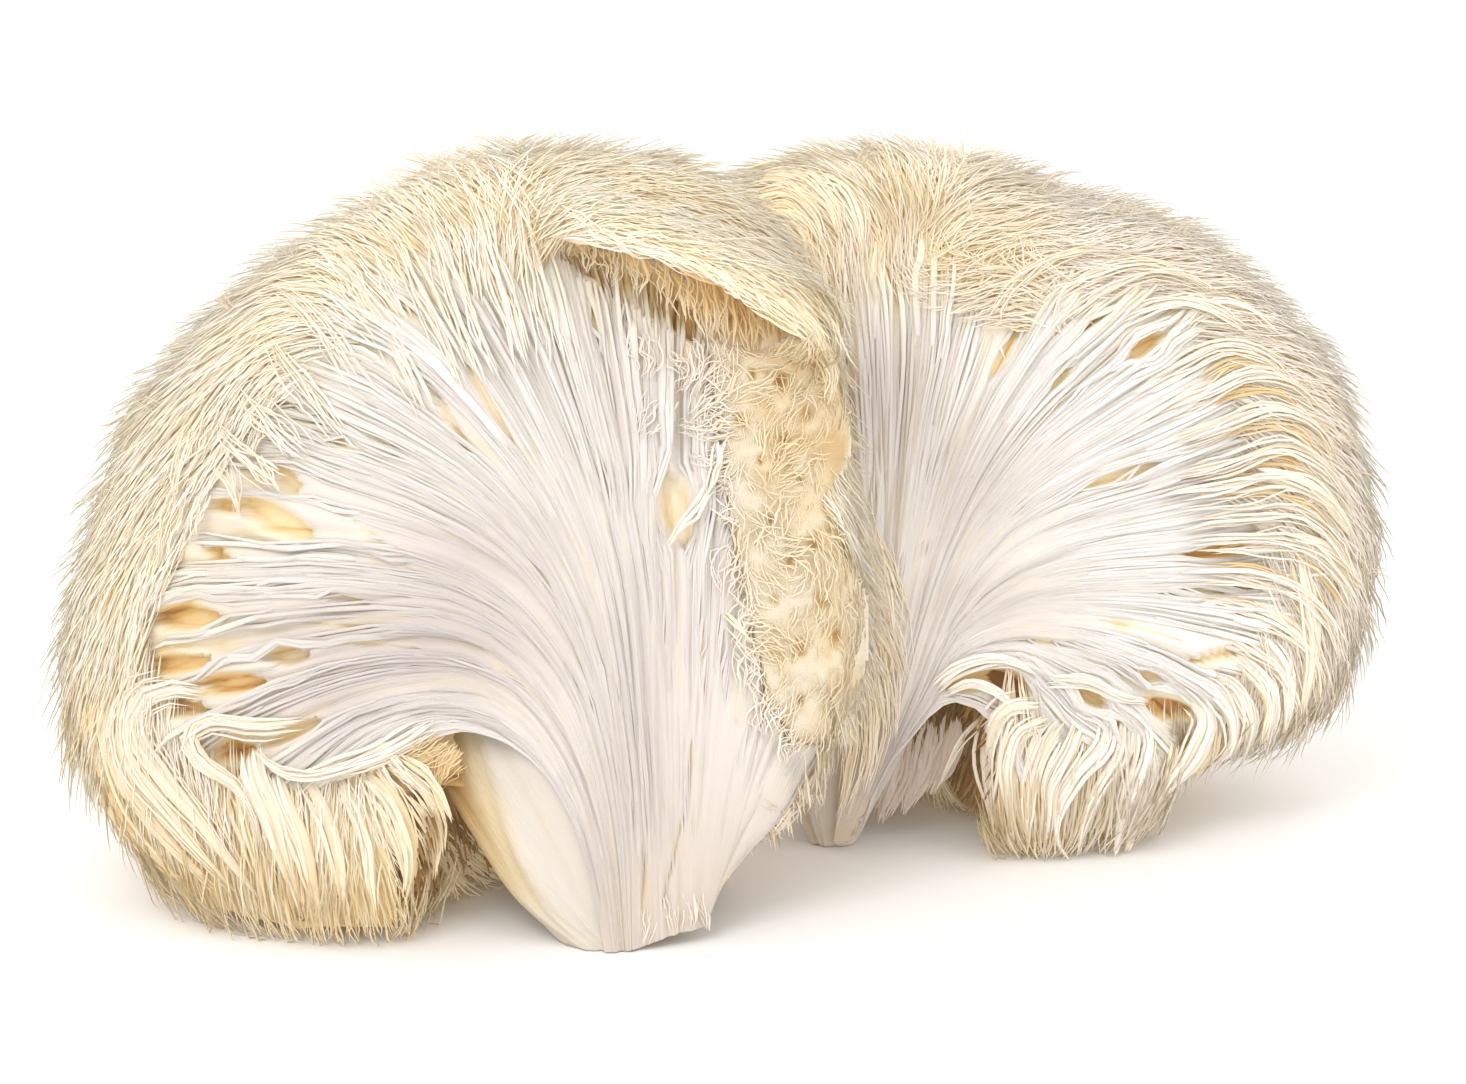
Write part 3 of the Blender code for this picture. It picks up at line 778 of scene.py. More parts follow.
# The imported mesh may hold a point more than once.
_, first, same = np.unique(np.round(co, 3), axis=0, return_index=True, return_inverse=True)
co, tri = co[first], same.reshape(-1)[tri]
tri = tri[(tri[:, 0] != tri[:, 1]) & (tri[:, 1] != tri[:, 2]) & (tri[:, 0] != tri[:, 2])]
flat_normals = np.cross(co[tri[:, 1]] - co[tri[:, 0]], co[tri[:, 2]] - co[tri[:, 0]])
areas = np.linalg.norm(flat_normals, axis=1) / 2
vertex_normals = np.zeros_like(co)
for corner in range(3):
    np.add.at(vertex_normals, tri[:, corner], flat_normals)
for _ in range(3):  # softened, so that spines on neighbouring faces lie alike
    total = vertex_normals.copy()
    for a, b in ((0, 1), (1, 2), (2, 0)):
        np.add.at(total, tri[:, a], vertex_normals[tri[:, b]])
        np.add.at(total, tri[:, b], vertex_normals[tri[:, a]])
    vertex_normals = unit(total)
tree = BVHTree.FromPolygons(co.tolist(), tri.tolist())
print("skin area", round(areas.sum()), "mm2,", len(tri), "faces")


def strewn(spacing, seed):
    """Places spread evenly over the solid's skin, about this far apart, with the skin's normals."""
    rng = np.random.default_rng(seed)
    n = int(areas.sum() / spacing**2 * 7)
    pick = rng.choice(len(tri), n, p=areas / areas.sum())
    a, b = rng.uniform(0, 1, n), rng.uniform(0, 1, n)
    a, b = np.where(a + b > 1, 1 - a, a), np.where(a + b > 1, 1 - b, b)
    weights = np.stack([1 - a - b, a, b], 1)[..., None]
    points = (co[tri[pick]] * weights).sum(1)
    normals = unit((vertex_normals[tri[pick]] * weights).sum(1))
    cell = np.floor(points / spacing).astype(int)
    _, kept = np.unique(cell, axis=0, return_index=True)
    kept = np.sort(kept)
    return points[kept], normals[kept]


# Where the flesh shows on each torn face, and so no spines stand, PX.
LEFT_BARE = (
    (600, 965), (560, 955), (500, 900), (455, 840), (430, 770), (400, 770), (350, 792), (300, 805), (262, 815),
    (225, 800), (190, 762), (160, 715), (140, 675), (148, 625), (172, 575), (190, 535), (212, 492), (238, 452),
    (272, 415), (305, 372), (336, 335), (375, 302), (420, 275), (470, 256), (520, 244), (565, 232), (610, 228),
    (650, 250), (695, 288), (745, 328), (760, 352), (722, 400), (712, 450), (722, 500), (735, 560), (745, 620),
    (755, 680), (770, 725), (800, 745), (850, 700), (840, 760), (805, 800), (800, 840), (745, 865), (720, 900), (700, 940),
)
RIGHT_BARE = (
    (835, 860), (875, 812), (905, 785), (935, 745), (955, 722), (975, 712), (1015, 722), (1055, 745), (1095, 765),
    (1135, 785), (1180, 762), (1205, 724), (1235, 694), (1256, 652), (1268, 600), (1274, 550), (1274, 500),
    (1268, 450), (1254, 400), (1230, 352), (1200, 312), (1165, 292), (1125, 292), (1080, 304), (1040, 322),
    (1000, 332), (960, 322), (920, 305), (885, 275), (850, 295), (836, 330), (850, 385), (860, 430), (850, 480),
    (828, 510), (850, 600), (880, 700), (845, 760), (800, 830),
)
FLAP = (
    (500, 170), (540, 148), (600, 152), (700, 166), (752, 184), (800, 235), (836, 300), (856, 405), (832, 405),
    (792, 337), (750, 318), (708, 298), (678, 264), (638, 243), (600, 228), (556, 238), (520, 215),
)
LEFT_MIDDLE, LEFT_SIZE = np.array([-37.0, 32.0, 48.0]), np.array([57.0, 32.0, 54.0])
RIGHT_MIDDLE, RIGHT_SIZE = np.array([44.0, 76.0, 45.0]), np.array([54.0, 32.0, 52.0])


def stem_radius(z, side):
    radius, height = zip(*side)
    return np.interp(z, height, radius)


def zones(points, normals):
    """What grows at each place of the skin."""
    px, py = project(points)
    x, y, z = points.T
    facing = (normals * unit(EYE - points)).sum(1)
    off_left = y - left_face(x, z)
    off_right = y - right_face(x, z)
    under = inside(UNDER_FLAP, px, py) & (facing > 0.0) & (off_left < 4) & (z > 55)
    left = np.linalg.norm((points - LEFT_MIDDLE) / LEFT_SIZE, axis=1)
    right = np.linalg.norm((points - RIGHT_MIDDLE) / RIGHT_SIZE, axis=1)
    r_left, r_right = np.hypot(x - LEFT_STEM[0], y - LEFT_STEM[1]), np.hypot(x - RIGHT_STEM[0], y - RIGHT_STEM[1])
    hidden = (facing < 0.0) & (normals[:, 2] > -0.3)
    past_left = (hidden | ((facing < 0.35) & (x > -2) & (y > 8) & (normals[:, 2] > -0.3))) & ((normals[:, 0] * (x - LEFT_STEM[0]) + normals[:, 1] * (y - LEFT_STEM[1])) / r_left > 0.25) & (r_left > 12)
    past_right = hidden & ((normals[:, 0] * (x - RIGHT_STEM[0]) + normals[:, 1] * (y - RIGHT_STEM[1])) / r_right > 0.25) & (r_right > 12)
    # The left lobe's outer flank, between the stems, is furred down to the ground.
    flank = (normals[:, 0] > 0.25) & (normals[:, 2] > -0.3) & (x > -8) & (y > 6) & (r_left > 17) & (off_right < 0)
    return {
        "px": px,
        "py": py,
        "facing": facing,
        "left": left < right,
        "left_bare": (inside(LEFT_BARE, px, py) & (facing > 0.0) & (normals[:, 1] < -0.45) & (off_left < 9) & (x < 20) & ((off_left > -2.6) | (z < 60))) | under,
        "under": under,
        "right_bare": inside(RIGHT_BARE, px, py) & (facing > 0.0) & (normals[:, 1] < -0.45) & (np.abs(off_right) < 9) & ((off_left > 9) | (x > 17)),
        "wool": inside(WOOL, px, py) & (facing > 0.05) & ((off_left < 10) | (np.abs(off_right) < 8)),
        "flap": inside(FLAP, px, py) & (facing > -0.1) & (off_left < 3.0) & (z > 60),
        "left_stem": (z < 20.5) & (r_left < stem_radius(z, LEFT_STEM_SIDE) + 1.6),
        "right_stem": (z < 22.5) & (r_right < stem_radius(z, RIGHT_STEM_SIDE) + 1.6),
        "hollow": (((z < 22) & (r_left < 27) & ~past_left) | ((z < 24) & (r_right < 23) & ~past_right & (off_right > -2.0))) & ~flank,
        "floor": (normals[:, 2] < -0.9) & (z < 1.0),
    }


# Which way the spines lie round the torn faces: place, then step right and down, PX.
LEFT_LIE = (
    (110, 540, -0.35, 1), (100, 620, -0.2, 1), (90, 700, -0.1, 1), (85, 760, 0.05, 1), (120, 800, 0.2, 1),
    (150, 850, 0.35, 1), (200, 900, 0.3, 1), (250, 930, 0.15, 1), (330, 930, 0, 1), (420, 900, 0.2, 1),
    (445, 850, 0.7, 0.7), (430, 790, 0.9, 0.4), (130, 720, 0.35, 1), (160, 780, 0.5, 1), (200, 830, 0.55, 1),
    (240, 860, 0.4, 1), (290, 830, 0.1, 1), (350, 830, 0, 1), (400, 830, 0.25, 1), (140, 470, -0.6, 0.8),
    (150, 560, -0.3, 1), (180, 520, -0.3, 1), (130, 640, -0.15, 1), (200, 440, -0.5, 0.8), (180, 400, -0.75, 0.65),
    (240, 340, -0.8, 0.6), (230, 420, -0.3, 0.95), (300, 290, -0.9, 0.0), (280, 350, -0.8, 0.3), (360, 240, -0.7, -0.6),
    (340, 290, -0.6, -0.7), (400, 215, -0.6, -0.75), (400, 260, -0.4, -0.9), (440, 190, -0.5, -0.85), (450, 240, -0.3, -0.95),
    (490, 170, -0.35, -0.9), (500, 230, -0.2, -1), (530, 170, 0.2, -1), (540, 220, 0.3, -0.9), (565, 180, 0.8, -0.5),
    (600, 180, 1, -0.05), (600, 210, 1, 0.1), (650, 190, 1, 0.2), (650, 230, 0.95, 0.4), (700, 210, 0.95, 0.35),
    (700, 260, 0.85, 0.5), (750, 240, 0.85, 0.5), (750, 290, 0.8, 0.6), (790, 280, 0.7, 0.7), (800, 330, 0.65, 0.75),
    (830, 380, 0.4, 0.9),
)
RIGHT_LIE = (
    (760, 195, -1, -0.3), (790, 175, -0.8, -0.6), (800, 210, -0.7, -0.8), (830, 200, -0.4, -1), (850, 165, -0.3, -1),
    (850, 250, -0.1, -1), (900, 160, 0.1, -1), (900, 230, 0.05, -1), (950, 160, 0.3, -1), (950, 200, 0.5, -0.6),
    (1000, 180, 0.7, -0.6), (1000, 220, 0.8, 0.1), (1050, 210, 0.85, -0.4), (1060, 245, 0.9, 0.2), (1100, 215, 0.8, -0.4),
    (1120, 260, 0.9, 0.1), (1160, 235, 0.75, -0.4), (1180, 280, 0.9, 0.1), (1220, 270, 0.8, -0.3), (1240, 320, 0.8, 0.2),
    (1280, 330, 0.85, 0.1), (1290, 380, 0.8, 0.4), (1320, 400, 0.8, 0.4), (1330, 460, 0.7, 0.6), (1350, 520, 0.5, 0.8),
    (1300, 520, 0.7, 0.6), (1360, 580, 0.3, 0.95), (1310, 600, 0.3, 0.95), (1340, 650, 0.1, 1), (1300, 680, 0.05, 1),
    (1310, 730, 0, 1), (1250, 740, -0.1, 1), (1200, 770, -0.25, 1), (1150, 820, -0.3, 1), (1110, 850, -0.25, 1),
    (1060, 850, -0.05, 1), (1010, 840, 0.1, 1), (1000, 780, 0.05, 1), (940, 270, -0.6, 0.1), (980, 300, -0.6, 0.2),
    (1030, 270, -0.7, -0.2),
)


def lie_at(px, py, table):
    table = np.array(table, float)
    far = (px[:, None] - table[:, 0]) ** 2 + (py[:, None] - table[:, 1]) ** 2
    weight = 1 / (far + 200.0) ** 1.5
    return (weight[..., None] * table[:, 2:]).sum(1) / weight.sum(1)[:, None]


def comb(points, normals, zone):
    """The way the spines lie: round the torn faces as in the picture, and down and away over the back, as they hang."""
    middle = np.where(zone["left"][:, None], LEFT_MIDDLE, RIGHT_MIDDLE)
    out = points - middle
    out[:, 1] = 0
    out = unit(out)
    front = smooth(-0.25, 0.25, zone["facing"])[:, None]
    shown = np.where(
        zone["left"][:, None], lie_at(zone["px"], zone["py"], LEFT_LIE), lie_at(zone["px"], zone["py"], RIGHT_LIE)
    )
    shown = unit(np.stack([shown[:, 0], 0 * shown[:, 0], -shown[:, 1]], 1))
    hung = unit(out * 0.35 + np.array([0, 0.4, -1.0]))
    way = shown * front + hung * (1 - front)
    way = way + 0.16 * np.stack([noise2(points[:, 0] / 6 + 40 * i, points[:, 2] / 6 + points[:, 1] / 9, 70 + i) for i in range(3)], 1)
    way = way - (way * normals).sum(1, keepdims=True) * normals
    return unit(way)


def spines(points, normals, ways, length, depth, lift, r0, m, sides, tone, shade, rng, wave=0.5, tuft=5.0, pull=0.45, back=0.72):
    """Curved, pointed spines whose tips reach the given places."""
    n = len(points)
    root = points - normals * depth[:, None] - ways * (length * back)[:, None]
    tip = points + normals * lift[:, None] + ways * (length * (1 - back) * 0.6)[:, None]
    # Tips in the same tuft lean together.
    cell = np.floor(tip / tuft).astype(int)
    _, of_cell, size = np.unique(cell, axis=0, return_inverse=True, return_counts=True)
    of_cell = of_cell.reshape(-1)
    heart = np.zeros((len(size), 3))
    np.add.at(heart, of_cell, tip)
    heart /= size[:, None]
    tip += (heart[of_cell] - tip) * (pull * rng.uniform(0.2, 1.0, n))[:, None]
    mid = 0.45 * root + 0.55 * tip + normals * (depth * 0.42)[:, None]
    u = np.linspace(0, 1, m)[None, :, None]
    path = root[:, None] * (1 - u) ** 2 + 2 * mid[:, None] * u * (1 - u) + tip[:, None] * u**2
    side = np.cross(normals, ways)
    phase = rng.uniform(0, 6.28, n)[:, None] + of_cell[:, None] * 1.9
    turns = rng.uniform(0.7, 1.6, n)[:, None]
    amount = wave * rng.uniform(0.3, 1.2, n)[:, None] * u[..., 0]
    path += side[:, None] * (amount * np.sin(6.28 * turns * u[..., 0] + phase))[..., None]
    path += normals[:, None] * (0.5 * amount * np.cos(5.1 * turns * u[..., 0] + phase))[..., None]
    radii = r0[:, None] * (1 - 0.75 * u[..., 0] ** 1.5) * np.ones((n, m))
    path[..., 2] = np.maximum(path[..., 2], radii + 0.08)
    u = u[..., 0]
    # Painted shade: each spine is more golden and darker towards its root, deep in the coat.
    tones = tone[0][:, None] * (1 - u) ** 1.3 + tone[1][:, None] * (1 - (1 - u) ** 1.3)
    shades = shade[:, None] * np.ones((1, m)) - 0.15 * (1 - u) ** 2
    return tubes(path, radii, sides, np.clip(tones, 0.002, 0.998), np.clip(shades, 0.02, 0.98), normals, soft=0.88)


def lumps_at(p):
    """From -1 in the valleys of the coat to 1 on its woolly lumps."""
    return 0.7 * noise2(p[:, 0] / 4.2, p[:, 2] / 4.2 + p[:, 1] / 6, 82) + 0.5 * noise2(p[:, 0] / 2.3, p[:, 2] / 2.3 + p[:, 1] / 3, 83)


def edge_near(polygon, x, y, reach):
    """1 at the polygon's edge, falling off over reach PX."""
    far = np.full(x.shape, 1e9)
    corners = np.array(polygon, float)
    for (ax, ay), (bx, by) in zip(corners, np.roll(corners, -1, axis=0)):
        t = np.clip(((x - ax) * (bx - ax) + (y - ay) * (by - ay)) / ((bx - ax) ** 2 + (by - ay) ** 2 + 1e-9), 0, 1)
        far = np.minimum(far, np.hypot(x - ax - t * (bx - ax), y - ay - t * (by - ay)))
    return np.exp(-((far / reach) ** 2))


def coat_tone(p, zone, rng):
    """(at the root, at the tip): golden at the root and in the coat's valleys, partly as painted shade; yellower low on
    the left, paler on the right lobe, patchy all over.
    """
    px, py = zone["px"], zone["py"]
    # The lumps_at term paints the coat's valleys more golden, as shade.
    patch = 0.05 * noise2(p[:, 0] / 9, p[:, 2] / 9 + p[:, 1] / 13, 81) + 0.07 * noise2(p[:, 0] / 3.4, p[:, 2] / 4.2 + p[:, 1] / 6, 82) - 0.06 * lumps_at(p)
    tan = 0.08 * smooth(640, 860, py) * zone["left"] * smooth(480, 200, px) + 0.05 * zone["flap"]
    pale = -0.13 * ~zone["left"] * smooth(980, 1120, px)
    near = np.where(zone["left"], edge_near(LEFT_BARE, px, py, 30.0), edge_near(RIGHT_BARE, px, py, 42.0)) * (zone["facing"] > 0)
    pale = pale - 0.13 * near * ~zone["flap"]
    gold = 0.12 * ~zone["left"] * np.exp(-(((px - 960) / 75) ** 2) - ((py - 270) / 38) ** 2)
    gold = gold + 0.10 * ~zone["left"] * np.exp(-(((px - 785) / 40) ** 2) - ((py - 215) / 35) ** 2)
    add = patch + tan + pale + gold
    n = len(p)
    ends = 0.16 * smooth(14, 2, p[:, 2]) * zone["left"] 
    return np.clip(0.52 + add + rng.normal(0, 0.04, n), 0, 1), np.clip(0.29 + ends + add + rng.normal(0, 0.045, n), 0, 1)


def part_of(zone, chosen):
    return {k: v[chosen] for k, v in zone.items()}


def bare_of_coat(zone):
    return (
        zone["left_bare"] | zone["right_bare"] | zone["left_stem"] | zone["right_stem"] | zone["hollow"] | zone["floor"] | zone["wool"]
    )


def coat_piece(name, places, chosen, m, sides, seed, length, radius, wave, tuft):
    rng = np.random.default_rng(seed)
    points, normals, zone = places
    p, nrm, z = points[chosen], normals[chosen], part_of(zone, chosen)
    w = comb(p, nrm, z)
    n = len(p)
    p = p - nrm * (3.4 * np.exp(-(((z["px"] - 1190) / 42) ** 2) - ((z["py"] - 822) / 48) ** 2))[:, None]
    size = length * np.exp(rng.normal(0, 0.22, n)) * np.where(z["flap"], 0.85, 1.0)
    outline = np.exp(-((z["facing"] / 0.22) ** 2)) * ~z["flap"]
    stray = (rng.uniform(0, 1, n) < 0.05 + 0.30 * outline) * rng.uniform(0.8, 3.4, n) * (radius < 0.3)
    under = rng.uniform(0, 1, n)
    lift = 1.1 * (1 - under) ** 1.5 * np.where(radius < 0.3, 1.0, 0.4) + 0.9 * lumps_at(p) * np.where(z["flap"], 0.3, 1.0) + stray
    depth = 0.24 * size * rng.uniform(0.75, 1.1, n)
    r0 = radius * np.exp(rng.normal(0, 0.22, n))
    shade = 0.96 - 0.13 * ~z["left"] + rng.normal(0, 0.025, n)
    tones = coat_tone(p, z, rng)
    # Painted shade: fine spines lower in the coat are tinted more golden, those on top paler.
    tones = tuple(np.clip(t + (0.20 * (under - 0.5) - 0.03) * (radius < 0.3), 0, 1) for t in tones)
    if radius > 0.3:
        for attempt in (0, 1):
            over = np.ones(n, bool)
            for share in (0.1, 0.5, 0.75):
                away = p + nrm * (lift + 0.4)[:, None] + w * (share * size)[:, None] - EYE
                hits = [tree.ray_cast(Vector(EYE), Vector(a))[3] for a in unit(away)]
                over &= np.array([np.inf if h is None else h for h in hits]) < np.linalg.norm(away, axis=1)
            # The root is in the body.
            for share in (0.35, 0.7):
                root = p - nrm * (share / 0.7 * depth)[:, None] - w * (share * size)[:, None]
                skin = [tree.find_nearest(Vector(a))[:2] for a in root]
                over &= np.array([(Vector(a) - b[0]).dot(b[1]) for a, b in zip(root, skin)]) < 0.4
            if attempt == 0:
                lift = np.where(over, lift, lift - 0.9)
                size, depth, r0 = (np.where(over, a, 0.6 * a) for a in (size, depth, r0))
        p, nrm, w, size, depth, lift, r0, shade = (a[over] for a in (p, nrm, w, size, depth, lift, r0, shade))
        tones = (tones[0][over], tones[1][over])
    return strand_piece(name, spines(p, nrm, w, size, depth, lift, r0, m, sides, tones, shade, rng, wave=wave, tuft=tuft), spine_look)


def surveyed(spacing, seed):
    points, normals = strewn(spacing, seed)
    return points, normals, zones(points, normals)


fine = surveyed(0.90, 5)
zone = fine[2]
coat = ~bare_of_coat(zone)
near = coat & (zone["facing"] > -0.24)
print("fine places", len(coat), "near", near.sum(), {k: int(v.sum()) for k, v in zone.items() if v.dtype == bool})
coat_piece("left_coat_front", fine, near & zone["left"], 5, 3, 101, 10.5, 0.155, 0.6, 1.5)
coat_piece("right_coat_front", fine, near & ~zone["left"], 5, 3, 102, 10.5, 0.155, 0.6, 1.5)
coarse = surveyed(2.2, 15)
zone = coarse[2]
far = ~bare_of_coat(zone) & (zone["facing"] <= -0.18)
coat_piece("left_coat_back", coarse, far & zone["left"], 5, 3, 103, 14.0, 0.42, 0.6, 6.0)
coat_piece("right_coat_back", coarse, far & ~zone["left"], 5, 3, 104, 14.0, 0.42, 0.6, 6.0)
print("coat", round(time.time() - began, 1))

# ------------------------------------------- hollows, underside, wool, the stems


def hanging(name, places, chosen, seed, length, radius, m=5, sides=3, tone=(0.84, 0.62), shade=0.4, look=None):
    """Spines that hang from the hollows' walls and roofs, and those that the skirts stand on. By default they are dark
    golden brown, in the shaded look: painted shade of the hollows.
    """
    rng = np.random.default_rng(seed)
    points, normals, zone = places
    p, nrm, z = points[chosen], normals[chosen], part_of(zone, chosen)
    n = len(p)
    size = length * rng.uniform(0.6, 1.15, n)
    on_floor = z["floor"]
    size = np.where(on_floor, rng.uniform(7, 10, n), size)
    aside = nrm * np.array([1, 1, 0]) * rng.uniform(0.0, 0.5, n)[:, None] * ~on_floor[:, None]
    way = unit(np.array([0, 0, -1.0]) + aside + rng.normal(0, 0.12, (n, 3)))
    tip = p + nrm * rng.uniform(0.2, 1.2, n)[:, None] * ~on_floor[:, None] + way * (size * 0.35)[:, None] * ~on_floor[:, None]
    tip[:, 2] = np.maximum(tip[:, 2], rng.uniform(0.15, 0.8, n))
    root = tip - way * size[:, None] - nrm * (0.25 * size)[:, None] * ~on_floor[:, None]
    fits = np.ones(n, bool)
    for end in (root, tip):
        own = (z["left"] & (end[:, 0] < 14)) | (look is not None)
        fits &= np.where(own, end[:, 1] - left_face(end[:, 0], end[:, 2]), end[:, 1] - right_face(end[:, 0], end[:, 2])) > 2.5
        # Those on the ground stay inside the outline.
        far = np.linalg.norm(end - EYE, axis=1)
        hits = [tree.ray_cast(Vector(EYE), Vector(a))[3] for a in unit(end - EYE)]
        fits &= ~on_floor | (np.array([np.inf if h is None else h for h in hits]) < far)
    p, nrm, size, root, tip, n = p[fits], nrm[fits], size[fits], root[fits], tip[fits], int(fits.sum())
    u = np.linspace(0, 1, m)[None, :, None]
    path = root[:, None] * (1 - u) + tip[:, None] * u
    phase = rng.uniform(0, 6.28, n)[:, None]
    u = u[..., 0]
    path[..., 0] += 0.5 * u * np.sin(4 * u + phase)
    path[..., 1] += 0.5 * u * np.cos(4 * u + phase)
    radii = (radius * np.exp(rng.normal(0, 0.2, n)))[:, None] * (1 - 0.75 * u**1.5)
    path[..., 2] = np.maximum(path[..., 2], radii + 0.06)
    tones = (tone[0] + rng.normal(0, 0.04, n))[:, None] * (1 - u) + (tone[1] + rng.normal(0, 0.05, n))[:, None] * u
    shades = np.clip(shade + rng.normal(0, 0.06, n), 0.02, 0.98)[:, None] * np.ones((1, m))
    return strand_piece(name, tubes(path, radii, sides, np.clip(tones, 0.002, 0.998), shades, [0.1, -1, 0.0]), look or shade_look)


middle = surveyed(1.7, 25)
zone = middle[2]
low = (zone["hollow"] | zone["floor"]) & ~zone["left_stem"] & ~zone["right_stem"] & ~zone["left_bare"]
# Painted shade: these spines in the hollows and under the skirts are dark golden brown.
hanging("hanging_spines", middle, low, 105, 8.5, 0.36, tone=(0.94, 0.80), shade=0.46)
# The left lobe's outer flank, between the stems.
at, out = middle[0], middle[1]
flank = ~bare_of_coat(zone) & (zone["facing"] < 0.1) & (out[:, 0] > 0.2) & (at[:, 0] > -10) & (at[:, 0] < 22) & (at[:, 1] > 6) & (at[:, 1] < 44) & (at[:, 2] < 25)
hanging("flank_spines", middle, flank, 106, 9.0, 0.40, tone=(0.56, 0.36), shade=0.86, look=spine_look)


def wool_tufts(name, places, chosen, seed, m=6, sides=3):
    """The short, felted, porous wool between the two faces."""
    rng = np.random.default_rng(seed)
    points, normals, zone = places
    p, nrm = points[chosen], normals[chosen]
    n = len(p)
    size = rng.uniform(2.6, 5.2, n)
    flow = unit(np.stack([noise2(p[:, 0] / 4, p[:, 2] / 4, 91), 0.2 * np.ones(n), 0.6 + noise2(p[:, 0] / 4, p[:, 2] / 4, 92)], 1))
    flow = unit(flow + rng.normal(0, 0.25, (n, 3)))
    flow = unit(flow - (flow * nrm).sum(1, keepdims=True) * nrm)
    side = np.cross(nrm, flow)
    u = np.linspace(0, 1, m)[None, :]
    phase = rng.uniform(0, 6.28, n)[:, None]
    turns = rng.uniform(0.4, 1.2, n)[:, None] * np.where(rng.uniform(0, 1, n) < 0.5, -1, 1)[:, None]
    curl = rng.uniform(0.2, 0.7, n)[:, None] * u
    bump = 1.1 * noise2(p[:, 0] / 3.2, p[:, 2] / 3.2, 95)
    rise = np.sin(np.pi * np.clip(u * 0.85 + 0.08, 0, 1)) * rng.uniform(0.1, 0.9, n)[:, None]
    path = (
        (p + nrm * (0.6 * bump - 0.1)[:, None])[:, None]
        + nrm[:, None] * (rise + 0.3 * curl * np.sin(6.28 * turns * u + phase))[..., None]
        + flow[:, None] * (size[:, None] * (u - 0.5))[..., None]
        + side[:, None] * (curl * np.cos(6.28 * turns * u + phase))[..., None]
    )
    radii = (0.095 * np.exp(rng.normal(0, 0.25, n)))[:, None] * (1 - 0.6 * u**2)
    # Painted shade: tufts on the felt's low places are a little more golden.
    base = 0.39 + 0.09 * noise2(p[:, 0] / 5, p[:, 2] / 5, 93) - 0.05 * bump + 0.05 * smooth(50, 64, p[:, 2])
    base = base - 0.10 * smooth(14, 2, p[:, 2]) - 0.30 * smooth(6, -5, p[:, 0]) + 0.05 * smooth(8, 13, p[:, 0])
    tones = (base + 0.05)[:, None] * (1 - u) + (base - 0.03)[:, None] * u + rng.normal(0, 0.025, n)[:, None]
    shades = (0.76 + rng.normal(0, 0.03, n))[:, None] * np.ones((1, m))
    path[..., 2] = np.maximum(path[..., 2], 0.3)
    return strand_piece(name, tubes(path, radii, sides, np.clip(tones, 0.002, 0.998), np.clip(shades, 0.02, 0.98), nrm, soft=0.9), spine_look)


# Pores of the wool: place and radius, PX.
PORES = (
    (805, 415, 9), (780, 380, 7), (760, 460, 5), (700, 495, 5), (820, 600, 8), (836, 636, 9), (752, 375, 5),
    (770, 520, 5), (790, 560, 6), (800, 480, 5), (812, 545, 6), (775, 600, 5), (845, 560, 5), (800, 650, 5),
    (785, 440, 5), (740, 420, 4), (830, 530, 5), (860, 610, 6), (800, 700, 5),
)
zone = fine[2]
holes = np.zeros(len(zone["px"]), bool)
for hx, hy, hr in PORES:
    holes |= (zone["px"] - hx) ** 2 + (zone["py"] - hy) ** 2 < hr**2
holes |= ((zone["px"] - 838) / 16) ** 2 + ((zone["py"] - 458) / 38) ** 2 < 1
wool = zone["wool"] & ~holes & (np.random.default_rng(7).uniform(0, 1, len(holes)) < 0.84)
wool_tufts("wool", fine, wool, 106)


FELT = (
    (706, 338), (760, 354), (800, 332), (826, 350), (844, 395), (852, 432), (846, 468), (826, 500), (834, 540),
    (858, 580), (878, 620), (884, 665), (872, 700), (845, 722), (820, 745), (792, 745), (766, 700), (752, 640),
    (742, 580), (728, 520), (722, 470), (714, 400),
)


def blurred(a, width):
    line = np.exp(-0.5 * (np.arange(-3 * width, 3 * width + 1) / width) ** 2)
    line /= line.sum()
    for axis in (0, 1):
        padded = np.concatenate([a.take([0] * 3 * width, axis), a, a.take([-1] * 3 * width, axis)], axis)
        a = np.apply_along_axis(lambda row: np.convolve(row, line, "valid"), axis, padded)
    return a


